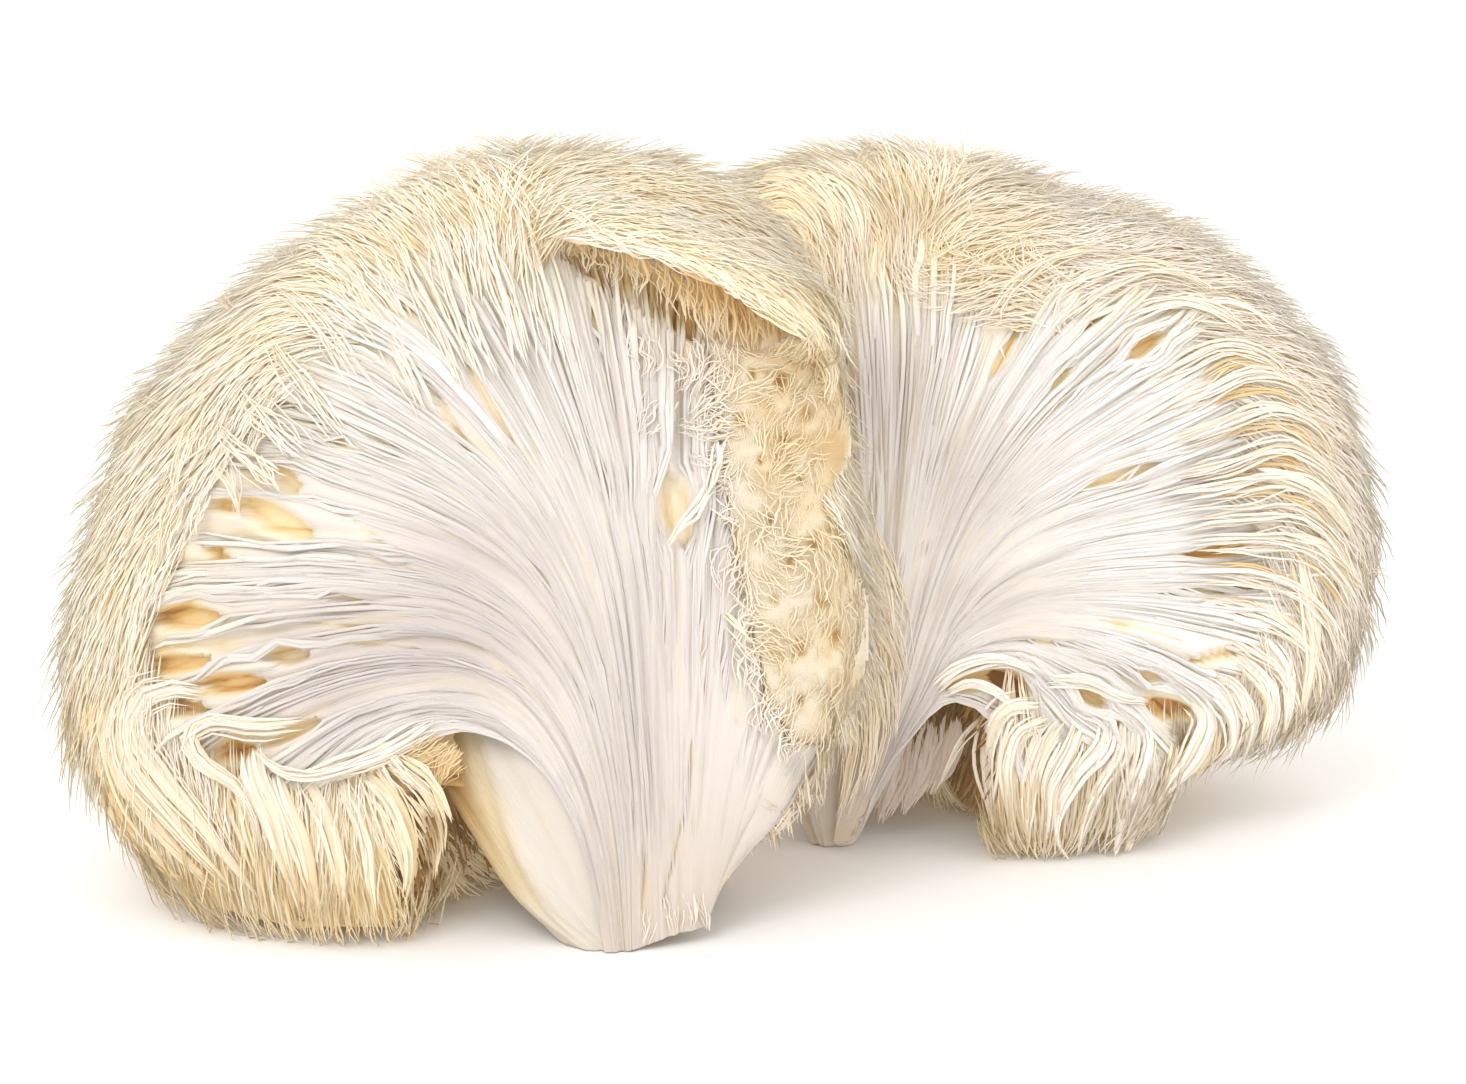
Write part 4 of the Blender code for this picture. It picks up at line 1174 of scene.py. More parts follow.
def felt_sheet(name, seed, rows=132, columns=60):
    """The felt that the wool's fibres stand in: soft lumps and pores."""
    py, px = np.meshgrid(np.linspace(326, 756, rows), np.linspace(694, 900, columns), indexing="ij")
    way = unit(unproject(px, py, np.full(px.shape, 1000.0)) - EYE)
    far = np.full(px.shape, np.nan)
    eye = Vector(EYE)
    for i in range(rows):
        for j in range(columns):
            hit = tree.ray_cast(eye, Vector(way[i, j]))
            if hit[0] is not None:
                far[i, j] = hit[3]
    hit = EYE + way * np.nan_to_num(far, nan=600.0)[..., None]
    own = inside(FELT, px, py) & ~np.isnan(far) & (hit[..., 1] - left_face(hit[..., 0], hit[..., 2]) < 8.5)
    held = blurred(own.astype(float), 2)
    depth = blurred(np.where(own, far, 0.0), 2) / np.maximum(held, 0.05)
    points = EYE + way * depth[..., None]
    x, z = points[..., 0], points[..., 2]
    lumps = noise2(x / 3.2, z / 3.2, seed) + 0.6 * noise2(x / 1.5, z / 1.5, seed + 1) + 0.5 * noise2(x / 0.8, z / 0.8, seed + 2)
    pore = np.zeros(px.shape)
    for hx, hy, hr in PORES:
        pore = np.maximum(pore, np.exp(-(((px - hx) / (0.75 * hr)) ** 2) - ((py - hy) / (1.1 * hr)) ** 2))
    pocket = np.exp(-(((px - 838) / 15) ** 2) - ((py - 458) / 36) ** 2)
    lumps = lumps * (1 - 0.8 * pocket)
    edge = smooth(0.3, 0.7, held)
    rise = 0.25 + 0.42 * lumps * edge - 1.5 * pore - 3.0 * (1 - smooth(0.35, 0.85, held))
    points = points - way * rise[..., None]
    # Painted shade: the pores and the pocket are golden brown and darker, the felt's low places more golden, its lumps
    # lighter.
    tone = 0.37 + 0.06 * noise2(x / 5, z / 5, 93) - 0.09 * lumps + 0.30 * pore + 0.05 * smooth(50, 64, z)
    tone = tone - 0.10 * smooth(14, 2, z) - 0.30 * smooth(6, -5, x) + 0.05 * smooth(8, 13, x) + 0.13 * smooth(440, 350, py)
    tone = (tone + 0.14 * pocket) * edge + 0.10 * (1 - edge)
    shade = (0.70 + 0.06 * lumps - 0.12 * pocket) * edge + 0.86 * (1 - edge)
    quads = sheet_faces(rows, columns)
    p = points.reshape(-1, 3)
    a, b, c = p[quads[:, 0]], p[quads[:, 1]], p[quads[:, 2]]
    if (np.cross(b - a, c - a) * (EYE - a)).sum() < 0:
        quads = quads[:, ::-1]
    # Only what lies under the wool is kept.
    near = held.ravel()[quads].min(1) > 0.3
    quads = quads[near]
    used, quads = np.unique(quads, return_inverse=True)
    quads = quads.reshape(-1, 4)
    places = np.stack(np.meshgrid(np.linspace(0.01, 0.99, rows), np.linspace(0.01, 0.99, columns), indexing="ij"), -1).reshape(-1, 2)
    tones = np.clip(np.stack([tone, shade], -1), 0.001, 0.999).reshape(-1, 2)
    return mesh_object(name, p[used], quads, [], {"OFBake": places[used], "Tone": tones[used]}, felt_look)


def stem_skin(name, stem, side, crease_px, depth, top_z, top_r, seed, side_shade_tone):
    """The stem's smooth skin: round the back, and on the left in front up to where the flesh begins."""
    rows, columns = 52, 100
    z = np.linspace(0.12, top_z, rows)
    radii = np.array([*side, (top_r, top_z)])
    r = np.interp(z, radii[:, 1], radii[:, 0])
    r = np.convolve(np.r_[[r[0]] * 3, r, [r[-1]] * 3], np.ones(7) / 7, "valid")
    r[0] *= 0.9
    if crease_px is not None:
        crease = on_face(*np.array(crease_px, float).T, depth)
        order = np.argsort(crease[:, 2])
        xc = np.interp(z, crease[order, 2], crease[order, 0]) + 2.0
    else:
        xc = np.full(rows, stem[0])
    cos_end = np.clip((xc - stem[0]) / r, -0.999, 0.75)
    end = 2 * np.pi - np.arccos(cos_end) if crease_px is not None else np.full(rows, 2 * np.pi + 0.05)
    front_y = depth(xc, z) + (1.1 + 1.3 * smooth(23, 29, z) if crease_px is not None else 1.9)
    middle_y = front_y + 0.45 * r
    squash = np.clip(0.45 / np.maximum(np.abs(np.sin(end)), 0.05), 0.05, 1.0) if crease_px is not None else np.full(rows, 0.45)
    phi = -0.05 + (end + 0.05)[:, None] * np.linspace(0, 1, columns)[None, :]
    x = stem[0] + r[:, None] * np.cos(phi) * np.where(np.cos(phi) > 0, 0.86, 1.0)
    y = middle_y[:, None] + r[:, None] * np.sin(phi) * np.where(np.sin(phi) < 0, squash[:, None], 0.6)
    zz = z[:, None] * np.ones(columns)
    turn = (phi - np.pi) / (end[:, None] - np.pi) * (1.0 if crease_px is not None else 1.6)
    share = np.linspace(0, 1, columns)
    # Soft dents and creases that run up the stem.
    wrinkle = 0.45 * noise2(share[None, :] * 16 + 0 * zz, zz / 11, seed) + 0.25 * noise2(share[None, :] * 46 + 0.5 * noise2(zz / 6, 0 * zz, seed + 2), zz / 14, seed + 1)
    fold = np.exp(-(((turn - 0.45 - 0.2 * smooth(0, 30, zz)) / 0.035) ** 2)) + 0.7 * np.exp(-(((turn - 0.8) / 0.03) ** 2))
    wrinkle = wrinkle - (0.35 if crease_px is not None else 0.0) * fold * smooth(0, 6, zz)
    edge = smooth(0, 0.06, share)[None, :] * smooth(1.0, 0.93, share)[None, :]
    x = x + wrinkle * edge * np.cos(phi)
    y = y + wrinkle * edge * np.where(np.sin(phi) < 0, -0.8, 0.8)
    points = np.stack([x, y, zz], -1)
    across = (1 + np.cos(phi)) / (1 + np.cos(end))[:, None] if crease_px is not None else (1 + np.cos(phi)) / 1.4
    front = np.where(np.sin(phi) < 0, smooth(0.0, 0.62, across), 0.55 * smooth(0.0, 0.5, 1 + np.cos(phi)))
    gold = smooth(1.0, 9.0, zz) * (0.75 + 0.25 * smooth(8, 20, zz))
    # Painted shade: the skin is golden tan on its left side, where it turns away, and more so higher up under the
    # flesh's rim; its folds and dents are more golden, and its folds and left side darker.
    tone = (side_shade_tone + 0.16 * smooth(14, 26, zz)) * (1 - front) * gold + 0.10 - 0.05 * wrinkle + 0.16 * smooth(5, 0, zz) * (1 - 0.4 * front) + 0.10 * fold * smooth(2, 8, zz)
    shade = (0.78 if crease_px is not None else 0.72) - 0.10 * fold - 0.2 * smooth(0.6, 0.0, turn) * (1 - front)
    quads = sheet_faces(rows, columns)
    p = points.reshape(-1, 3)
    a, b, c = p[quads[:, 0]], p[quads[:, 1]], p[quads[:, 2]]
    hub = np.array([stem[0], middle_y[0] + 4.0, 10.0])
    if (np.cross(b - a, c - a) * (a - hub)).sum() < 0:
        quads = quads[:, ::-1]
    places = np.stack([np.ones((rows, 1)) * np.linspace(0.01, 0.99, columns), np.linspace(0.01, 0.99, rows)[:, None] * np.ones(columns)], -1)
    tones = np.clip(np.stack([tone, shade], -1), 0.001, 0.999).reshape(-1, 2)
    # The foot is closed with one fan of faces.
    foot = len(p)
    p = np.vstack([p, [[stem[0], middle_y[0], 0.05]]])
    i = np.arange(columns - 1)
    tips = np.stack([i, i + 1, np.full(columns - 1, foot)], 1)
    places = np.vstack([places.reshape(-1, 2), [[0.5, 0.001]]])
    tones = np.vstack([tones, [[0.45, 0.7]]])
    return mesh_object(name, p, quads, tips, {"OFBake": places, "Tone": tones}, stem_look)


felt_sheet("felt", 96)

LEFT_CREASE = (
    (615, 955), (600, 905), (577, 850), (562, 818), (545, 790), (527, 766), (514, 740), (506, 712),
)
stem_skin("left_stem_skin", LEFT_STEM, LEFT_STEM_SIDE, LEFT_CREASE, left_face, 33.0, 24.6, 121, 0.62)
stem_skin("right_stem_skin", RIGHT_STEM, RIGHT_STEM_SIDE, None, right_face, 27.0, 20.5, 122, 0.36)
print("rest", round(time.time() - began, 1))

# ------------------------------------------------- locks that lie as in the picture

def on_solid(px, py, reach=8.0):
    """Where the picture's lines of sight meet the solid. A strand that leaves it stays as far off as where it left."""
    way = unit(unproject(px, py, np.full(np.shape(px), 1000.0)) - EYE)
    far = np.full(way.shape[:2], np.nan)
    eye = Vector(EYE)
    for i in range(way.shape[0]):
        for j in range(way.shape[1]):
            hit = tree.ray_cast(eye, Vector(way[i, j]))
            if hit[0] is not None:
                far[i, j] = hit[3]
    usual = np.nanmedian(far)
    steps = np.arange(far.shape[1])
    for line in far:
        held = ~np.isnan(line)
        line[:] = np.interp(steps, steps[held], line[held]) if held.any() else usual
    near = np.minimum.accumulate(far, axis=1)
    far = np.minimum(far, near + reach)
    far = np.clip(far, usual - 14, usual + 14)
    return EYE + way * far[..., None]


def lock(rng, guide, width, count, radius, lifts, tones, curl=1.0, tip=0.4, early=0.2, where=None, shade=0.95, m=12, sides=3):
    """Strands along a line in the picture, width PX across, drawn together at the tip."""
    u = np.linspace(0, 1, m)[None, :]
    first = rng.uniform(0, early, count)[:, None]
    v = first + (rng.uniform(1 - early, 1.0, count)[:, None] - first) * u
    line = curve(guide, 80)
    step = np.linspace(0, 1, 80)
    x, y = np.interp(v, step, line[:, 0]), np.interp(v, step, line[:, 1])
    dx, dy = np.gradient(line[:, 0]), np.gradient(line[:, 1])
    wx, wy = np.interp(v, step, dx), np.interp(v, step, dy)
    size = np.hypot(wx, wy)
    off = rng.normal(0, 0.42, count)[:, None] * width * (1 - (1 - tip) * smooth(0.35, 1.0, v))
    own = rng.uniform(0, 200, count)[:, None]
    off = off + curl * (noise2(own, v * 5 + own, 201) * (2.2 + 0.10 * width) + 0.8 * noise2(own, v * 13 + own, 202))
    x, y = x - wy / size * off, y + wx / size * off
    points = on_solid(x, y) if where is None else on_face(x, y, where)
    toward = unit(EYE - points)
    depth = rng.uniform(0, 1, count)[:, None]
    lift = (lifts[0] * (1 - v) + lifts[1] * v) * (0.35 + 0.9 * depth) + 0.5 * noise2(own, v * 4 + own, 203) * np.sin(np.pi * v)
    points = points + toward * lift[..., None]
    taper = np.clip(u / 0.15, 0, 1) ** 0.5 * np.clip((1 - u) / 0.35, 0, 1) ** 0.55
    radii = np.maximum((radius * np.exp(rng.normal(0, 0.28, count)))[:, None] * taper, 0.04)
    points[..., 2] = np.maximum(points[..., 2], radii + 0.08)
    # Painted shade: the lower strands of each lock are tinted more golden and darker.
    tone = tones[0] * (1 - v) + tones[1] * v + rng.normal(0, 0.03, count)[:, None] + 0.10 * (1 - depth)
    light = shade + rng.normal(0, 0.03, count)[:, None] - 0.10 * (1 - depth) + 0 * v
    up = unit(toward.mean(1) + np.array([0, 0, 0.35]))
    return tubes(points, radii, sides, np.clip(tone, 0.002, 0.998), np.clip(light, 0.02, 0.98), up, soft=0.6)


# Line, PX; then width PX, strands, radius, lift at root and tip, tone at root and tip.
FLOW = (  # out of the left face's lower left, round and down into its skirt
    (((306, 724), (254, 728), (208, 724), (189, 737), (197, 757), (236, 785), (254, 816), (262, 860)), 16, 18, 0.24, (0.2, 1.6), (0.06, 0.28)),
    (((210, 697), (161, 693), (140, 706), (136, 730), (161, 772), (205, 825), (236, 869), (262, 903)), 16, 18, 0.24, (0.2, 1.6), (0.08, 0.36)),
    (((174, 684), (137, 688), (123, 719), (127, 754), (170, 816), (214, 869), (247, 904)), 14, 15, 0.24, (0.3, 1.5), (0.12, 0.40)),
    (((116, 690), (108, 720), (118, 765), (150, 820), (196, 870), (226, 902)), 16, 13, 0.24, (0.3, 1.3), (0.28, 0.44)),
    (((96, 690), (92, 730), (104, 780), (130, 830), (166, 868), (200, 900)), 16, 12, 0.22, (0.3, 1.2), (0.36, 0.50)),
    (((249, 745), (254, 776), (271, 816), (288, 869), (304, 914)), 15, 15, 0.24, (0.3, 1.6), (0.10, 0.40)),
    (((271, 768), (280, 798), (298, 838), (311, 886), (323, 923)), 14, 13, 0.24, (0.3, 1.6), (0.10, 0.42)),
    (((304, 775), (320, 807), (333, 838), (341, 882), (345, 923)), 14, 13, 0.24, (0.3, 1.6), (0.14, 0.42)),
    (((338, 776), (355, 808), (367, 842), (371, 882), (376, 918)), 14, 13, 0.24, (0.3, 1.6), (0.18, 0.42)),
    (((364, 768), (392, 799), (408, 838), (411, 878), (404, 910)), 14, 13, 0.24, (0.3, 1.6), (0.22, 0.42)),
    (((386, 764), (420, 784), (434, 809), (442, 836), (444, 860)), 12, 13, 0.20, (0.3, 1.8), (0.28, 0.38)),
    (((400, 756), (426, 774), (442, 798), (452, 824)), 10, 9, 0.18, (0.4, 1.8), (0.32, 0.34)),
    (((404, 790), (424, 818), (436, 850), (434, 884)), 12, 10, 0.20, (0.4, 1.8), (0.34, 0.40)),
    (((410, 820), (424, 850), (427, 880), (420, 904)), 12, 9, 0.20, (0.4, 1.6), (0.36, 0.44)),
    (((236, 760), (230, 800), (246, 850), (262, 895)), 12, 9, 0.20, (0.3, 1.2), (0.40, 0.46)),
)
CURL = (  # the strand that curls under the left face, the fuzz below it, and golden strands painted as the shade in the crease
    (((440, 716), (403, 738), (342, 765), (306, 774), (273, 767), (254, 746)), 12, 26, 0.2, (0.3, 1.6), (0.04, 0.12)),
    (((425, 735), (390, 752), (350, 768), (318, 776)), 12, 22, 0.16, (0.2, 0.8), (0.26, 0.34)),
    (((450, 738), (430, 752), (402, 764)), 20, 26, 0.09, (-0.4, 0.4), (0.50, 0.54)),
    (((462, 746), (444, 764), (434, 792)), 22, 22, 0.09, (-0.8, 0.2), (0.46, 0.60)),
    (((712, 483), (696, 509), (680, 528), (667, 547)), 7, 12, 0.24, (1.2, 1.6), (0.04, 0.06)),
    (((720, 440), (716, 470), (708, 500)), 7, 10, 0.24, (1.0, 1.4), (0.06, 0.06)),
    (((213, 465), (232, 490), (239, 521)), 7, 6, 0.08, (1.5, 3.0), (0.26, 0.16)),
    (((156, 546), (143, 595), (132, 640), (124, 684)), 8, 10, 0.15, (1.0, 2.2), (0.24, 0.16)),
    (((258, 452), (268, 470), (282, 496)), 6, 5, 0.08, (1.2, 2.4), (0.2, 0.14)),
    (((232, 462), (236, 488), (238, 515)), 6, 6, 0.08, (1.2, 2.4), (0.2, 0.12)),
    (((196, 420), (180, 455), (172, 500)), 14, 12, 0.11, (0.3, 1.0), (0.30, 0.22)),
    (((222, 400), (204, 430), (192, 466)), 14, 12, 0.11, (0.3, 1.0), (0.30, 0.22)),
    (((180, 490), (166, 530), (158, 572)), 12, 12, 0.11, (0.3, 1.0), (0.30, 0.22)),
    (((205, 490), (194, 520), (190, 545)), 8, 8, 0.11, (0.3, 1.0), (0.26, 0.18)),
    (((145, 600), (136, 645), (134, 690)), 10, 10, 0.11, (0.3, 1.0), (0.30, 0.22)),
    (((268, 420), (256, 440), (250, 462)), 8, 8, 0.11, (0.3, 1.0), (0.24, 0.16)),
)
FOOT = (  # ragged ends at the left stem's foot and right edge
    (((672, 890), (675, 912), (677, 936)), 14, 10, 0.10, (-0.9, 0.5), (0.04, 0.12)),
    (((687, 882), (692, 906), (694, 932)), 13, 10, 0.10, (-0.9, 0.6), (0.04, 0.12)),
    (((698, 890), (703, 908), (709, 933)), 12, 12, 0.10, (-1.2, 0.5), (0.04, 0.12)),
    (((646, 905), (647, 925), (644, 949)), 12, 6, 0.09, (-0.9, 0.3), (0.08, 0.16)),
    (((828, 760), (812, 780), (800, 797)), 8, 8, 0.10, (-0.4, 0.6), (0.10, 0.16)),
    (((798, 806), (786, 820), (774, 836)), 7, 7, 0.10, (-0.4, 0.6), (0.10, 0.16)),
    (((812, 780), (806, 792), (812, 806)), 6, 6, 0.10, (-0.4, 0.8), (0.10, 0.16)),
)
MERGE = (  # the fuzz in which the wool runs out over the right face
    (((850, 520), (868, 560), (890, 600), (912, 632)), 22, 26, 0.10, (0.2, 0.6), (0.34, 0.12)),
    (((858, 560), (876, 600), (894, 640), (908, 684)), 22, 26, 0.10, (0.2, 0.6), (0.34, 0.12)),
    (((862, 610), (880, 650), (890, 700), (892, 746)), 20, 26, 0.10, (0.2, 0.5), (0.34, 0.12)),
    (((858, 650), (872, 700), (872, 750), (862, 800)), 20, 26, 0.10, (0.2, 0.4), (0.34, 0.16)),
    (((846, 500), (858, 540), (872, 580), (884, 616)), 20, 26, 0.10, (0.2, 0.5), (0.28, 0.12)),
    (((866, 540), (880, 580), (888, 620), (896, 660)), 20, 26, 0.10, (0.2, 0.5), (0.22, 0.08)),
    (((846, 690), (856, 730), (850, 780), (838, 826)), 18, 22, 0.10, (0.2, 0.4), (0.32, 0.18)),
)
UNDER = (  # strands under the flap, golden at the root as painted shade
    (((556, 222), (564, 236), (562, 262)), 18, 9, 0.10, (-0.6, 0.1), (0.60, 0.04)),
    (((580, 230), (590, 250), (588, 276)), 18, 9, 0.10, (-0.6, 0.1), (0.68, 0.04)),
    (((604, 240), (615, 262), (612, 290)), 18, 9, 0.10, (-0.6, 0.1), (0.70, 0.04)),
    (((630, 246), (640, 270), (638, 300)), 18, 9, 0.10, (-0.6, 0.1), (0.68, 0.04)),
    (((654, 252), (664, 278), (663, 312)), 18, 9, 0.10, (-0.6, 0.1), (0.70, 0.04)),
    (((678, 262), (688, 288), (690, 326)), 20, 14, 0.11, (-0.6, 0.2), (0.80, 0.10)),
    (((700, 270), (709, 300), (712, 340)), 20, 16, 0.11, (-0.6, 0.3), (0.82, 0.14)),
    (((718, 280), (727, 312), (732, 352)), 20, 16, 0.11, (-0.6, 0.3), (0.84, 0.20)),
    (((738, 290), (747, 320), (753, 360)), 20, 16, 0.11, (-0.6, 0.4), (0.84, 0.28)),
    (((750, 298), (760, 322), (768, 358)), 16, 12, 0.11, (-0.4, 0.5), (0.74, 0.30)),
    (((774, 312), (784, 336), (794, 368)), 16, 14, 0.11, (-0.2, 0.6), (0.70, 0.40)),
    (((798, 330), (810, 356), (822, 386)), 16, 16, 0.12, (0.0, 0.8), (0.62, 0.42)),
)
FRAY = (  # white tufts where the left flesh frays into the wool
    (((742, 362), (714, 374), (694, 398)), 24, 16, 0.10, (0.4, 1.0), (0.16, 0.04)),
    (((744, 396), (716, 400), (690, 424)), 24, 18, 0.10, (0.4, 1.1), (0.12, 0.03)),
    (((738, 424), (706, 432), (676, 424)), 24, 18, 0.10, (0.4, 1.1), (0.10, 0.03)),
    (((744, 450), (716, 462), (688, 452)), 24, 18, 0.10, (0.4, 1.1), (0.10, 0.03)),
    (((746, 486), (728, 478), (704, 486)), 22, 16, 0.10, (0.4, 1.1), (0.12, 0.03)),
    (((748, 520), (732, 514), (716, 524)), 22, 16, 0.10, (0.4, 1.0), (0.12, 0.04)),
    (((744, 548), (730, 570), (724, 600)), 22, 16, 0.10, (0.3, 0.9), (0.16, 0.04)),
    (((756, 590), (742, 616), (738, 650)), 22, 16, 0.10, (0.3, 0.9), (0.16, 0.04)),
    (((764, 640), (752, 666), (750, 700)), 22, 16, 0.10, (0.3, 0.9), (0.16, 0.04)),
    (((776, 690), (764, 714), (766, 742)), 22, 16, 0.10, (0.3, 0.9), (0.14, 0.04)),
    (((800, 730), (786, 746), (784, 768)), 22, 14, 0.10, (0.2, 0.8), (0.12, 0.04)),
    (((640, 330), (650, 356), (644, 384)), 26, 14, 0.10, (0.2, 0.8), (0.12, 0.03)),
    (((680, 340), (690, 366), (680, 396)), 26, 14, 0.10, (0.2, 0.8), (0.14, 0.03)),
    (((664, 392), (652, 416), (636, 440)), 22, 12, 0.10, (0.2, 0.9), (0.10, 0.03)),
)
WISPS = (  # fine curls that stand off the outline
    ((438, 192), (432, 166), (440, 146)), ((455, 187), (455, 163), (470, 150)), ((470, 182), (485, 161), (500, 158)),
    ((380, 217), (372, 200), (378, 188)), ((300, 262), (288, 248), (296, 240)), ((232, 312), (222, 300), (230, 292)),
    ((160, 412), (146, 403), (138, 396)), ((112, 502), (99, 496), (96, 506)), ((80, 622), (70, 640), (76, 656)),
    ((74, 702), (63, 731), (70, 760)), ((92, 792), (86, 810), (100, 816)), ((540, 170), (552, 158), (566, 160)),
    ((862, 167), (871, 151), (886, 152)), ((932, 162), (941, 146), (958, 150)), ((1032, 192), (1046, 179), (1060, 185)),
    ((1110, 217), (1123, 201), (1138, 208)), ((1232, 292), (1249, 283), (1258, 292)), ((1335, 442), (1355, 441), (1367, 452)),
    ((1342, 472), (1362, 476), (1372, 489)), ((1364, 570), (1378, 573), (1382, 586)),
    ((1180, 240), (1192, 228), (1206, 234)),
)
FLAP_ENDS = (  # the curling ends along the flap's lower edge
    (((548, 212), (578, 222), (600, 238)), 12, 14, 0.13, (0.2, 0.2), (0.32, 0.14)),
    (((580, 226), (612, 240), (640, 258)), 12, 14, 0.13, (0.2, 0.2), (0.32, 0.12)),
    (((618, 240), (655, 250), (688, 266)), 12, 14, 0.13, (0.2, 0.2), (0.32, 0.12)),
    (((655, 250), (690, 262), (714, 276)), 12, 14, 0.13, (0.2, 0.2), (0.32, 0.14)),
    (((690, 262), (724, 280), (746, 300)), 12, 14, 0.13, (0.2, 0.2), (0.34, 0.18)),
    (((720, 278), (756, 300), (776, 322)), 14, 14, 0.13, (0.2, 0.3), (0.36, 0.26)),
    (((750, 292), (788, 316), (812, 336), (820, 360)), 16, 16, 0.13, (0.4, 0.8), (0.38, 0.36)),
    (((790, 300), (818, 340), (832, 376), (826, 408)), 16, 16, 0.13, (0.4, 0.8), (0.38, 0.36)),
)
SWIRL = (  # arcs on the right lobe beside the flap, its fringe, its rim and a loose strand
    (((748, 202), (790, 196), (815, 218), (824, 248)), 22, 24, 0.13, (0.4, 0.8), (0.42, 0.30)),
    (((742, 186), (796, 178), (832, 206), (844, 248)), 20, 24, 0.13, (0.4, 0.8), (0.40, 0.26)),
    (((758, 216), (785, 210), (802, 228), (808, 256)), 14, 16, 0.13, (0.3, 0.6), (0.50, 0.42)),
    (((800, 170), (842, 186), (860, 220), (864, 262)), 22, 24, 0.13, (0.4, 0.8), (0.34, 0.20)),
    (((1045, 706), (1006, 710), (989, 745), (988, 785), (995, 834)), 14, 15, 0.24, (0.3, 1.8), (0.04, 0.16)),
    (((1049, 719), (1019, 732), (1006, 767), (1010, 807), (1013, 848)), 14, 15, 0.24, (0.3, 1.8), (0.10, 0.18)),
    (((1062, 719), (1045, 741), (1032, 776), (1027, 811), (1029, 850)), 13, 15, 0.24, (0.3, 1.8), (0.10, 0.18)),
    (((1080, 723), (1067, 754), (1050, 789), (1049, 820), (1046, 847)), 13, 15, 0.24, (0.3, 1.8), (0.10, 0.18)),
    (((1106, 706), (1106, 741), (1080, 776), (1059, 811), (1059, 846), (1070, 862)), 14, 16, 0.24, (0.3, 2.0), (0.02, 0.16)),
    (((1124, 710), (1120, 754), (1098, 789), (1084, 824), (1077, 860)), 13, 15, 0.24, (0.3, 2.0), (0.02, 0.16)),
    (((1142, 704), (1147, 750), (1133, 789), (1120, 829), (1114, 864)), 13, 16, 0.24, (0.3, 2.2), (0.02, 0.12)),
    (((1146, 745), (1147, 785), (1137, 820), (1125, 857)), 10, 10, 0.22, (0.3, 1.8), (0.04, 0.16)),
    (((1186, 688), (1207, 719), (1194, 754), (1168, 789), (1147, 829)), 14, 16, 0.24, (0.3, 2.2), (0.02, 0.14)),
    (((1168, 679), (1211, 684), (1233, 714), (1232, 748), (1211, 768)), 14, 15, 0.24, (0.3, 2.0), (0.02, 0.16)),
    (((1203, 675), (1234, 688), (1251, 723), (1243, 763)), 13, 13, 0.24, (0.3, 1.8), (0.04, 0.16)),
    (((1234, 653), (1264, 679), (1274, 714), (1265, 752)), 13, 13, 0.22, (0.3, 1.8), (0.04, 0.18)),
    (((1256, 635), (1282, 666), (1288, 701), (1282, 743)), 13, 13, 0.22, (0.3, 1.8), (0.06, 0.20)),
    (((1176, 740), (1170, 775), (1160, 806), (1150, 838)), 12, 9, 0.2, (0.3, 1.2), (0.32, 0.36)),
    (((1212, 720), (1212, 745), (1200, 768), (1188, 780)), 12, 9, 0.2, (0.3, 1.2), (0.30, 0.36)),
    (((1010, 708), (986, 716), (962, 738), (947, 767), (934, 795)), 5, 8, 0.2, (0.8, 3.0), (0.04, 0.12)),
    (((1281, 533), (1325, 550), (1366, 590)), 12, 10, 0.24, (0.6, 1.4), (0.12, 0.28)),
    (((1298, 549), (1313, 640), (1300, 732)), 12, 12, 0.24, (0.6, 1.6), (0.16, 0.30)),
    (((1255, 470), (1315, 490), (1352, 540)), 12, 10, 0.22, (0.6, 1.4), (0.12, 0.28)),
    (((1250, 602), (1305, 640), (1322, 704)), 12, 10, 0.24, (0.6, 1.6), (0.16, 0.30)),
    (((1240, 660), (1270, 700), (1262, 750)), 12, 9, 0.24, (0.6, 1.6), (0.20, 0.30)),
)


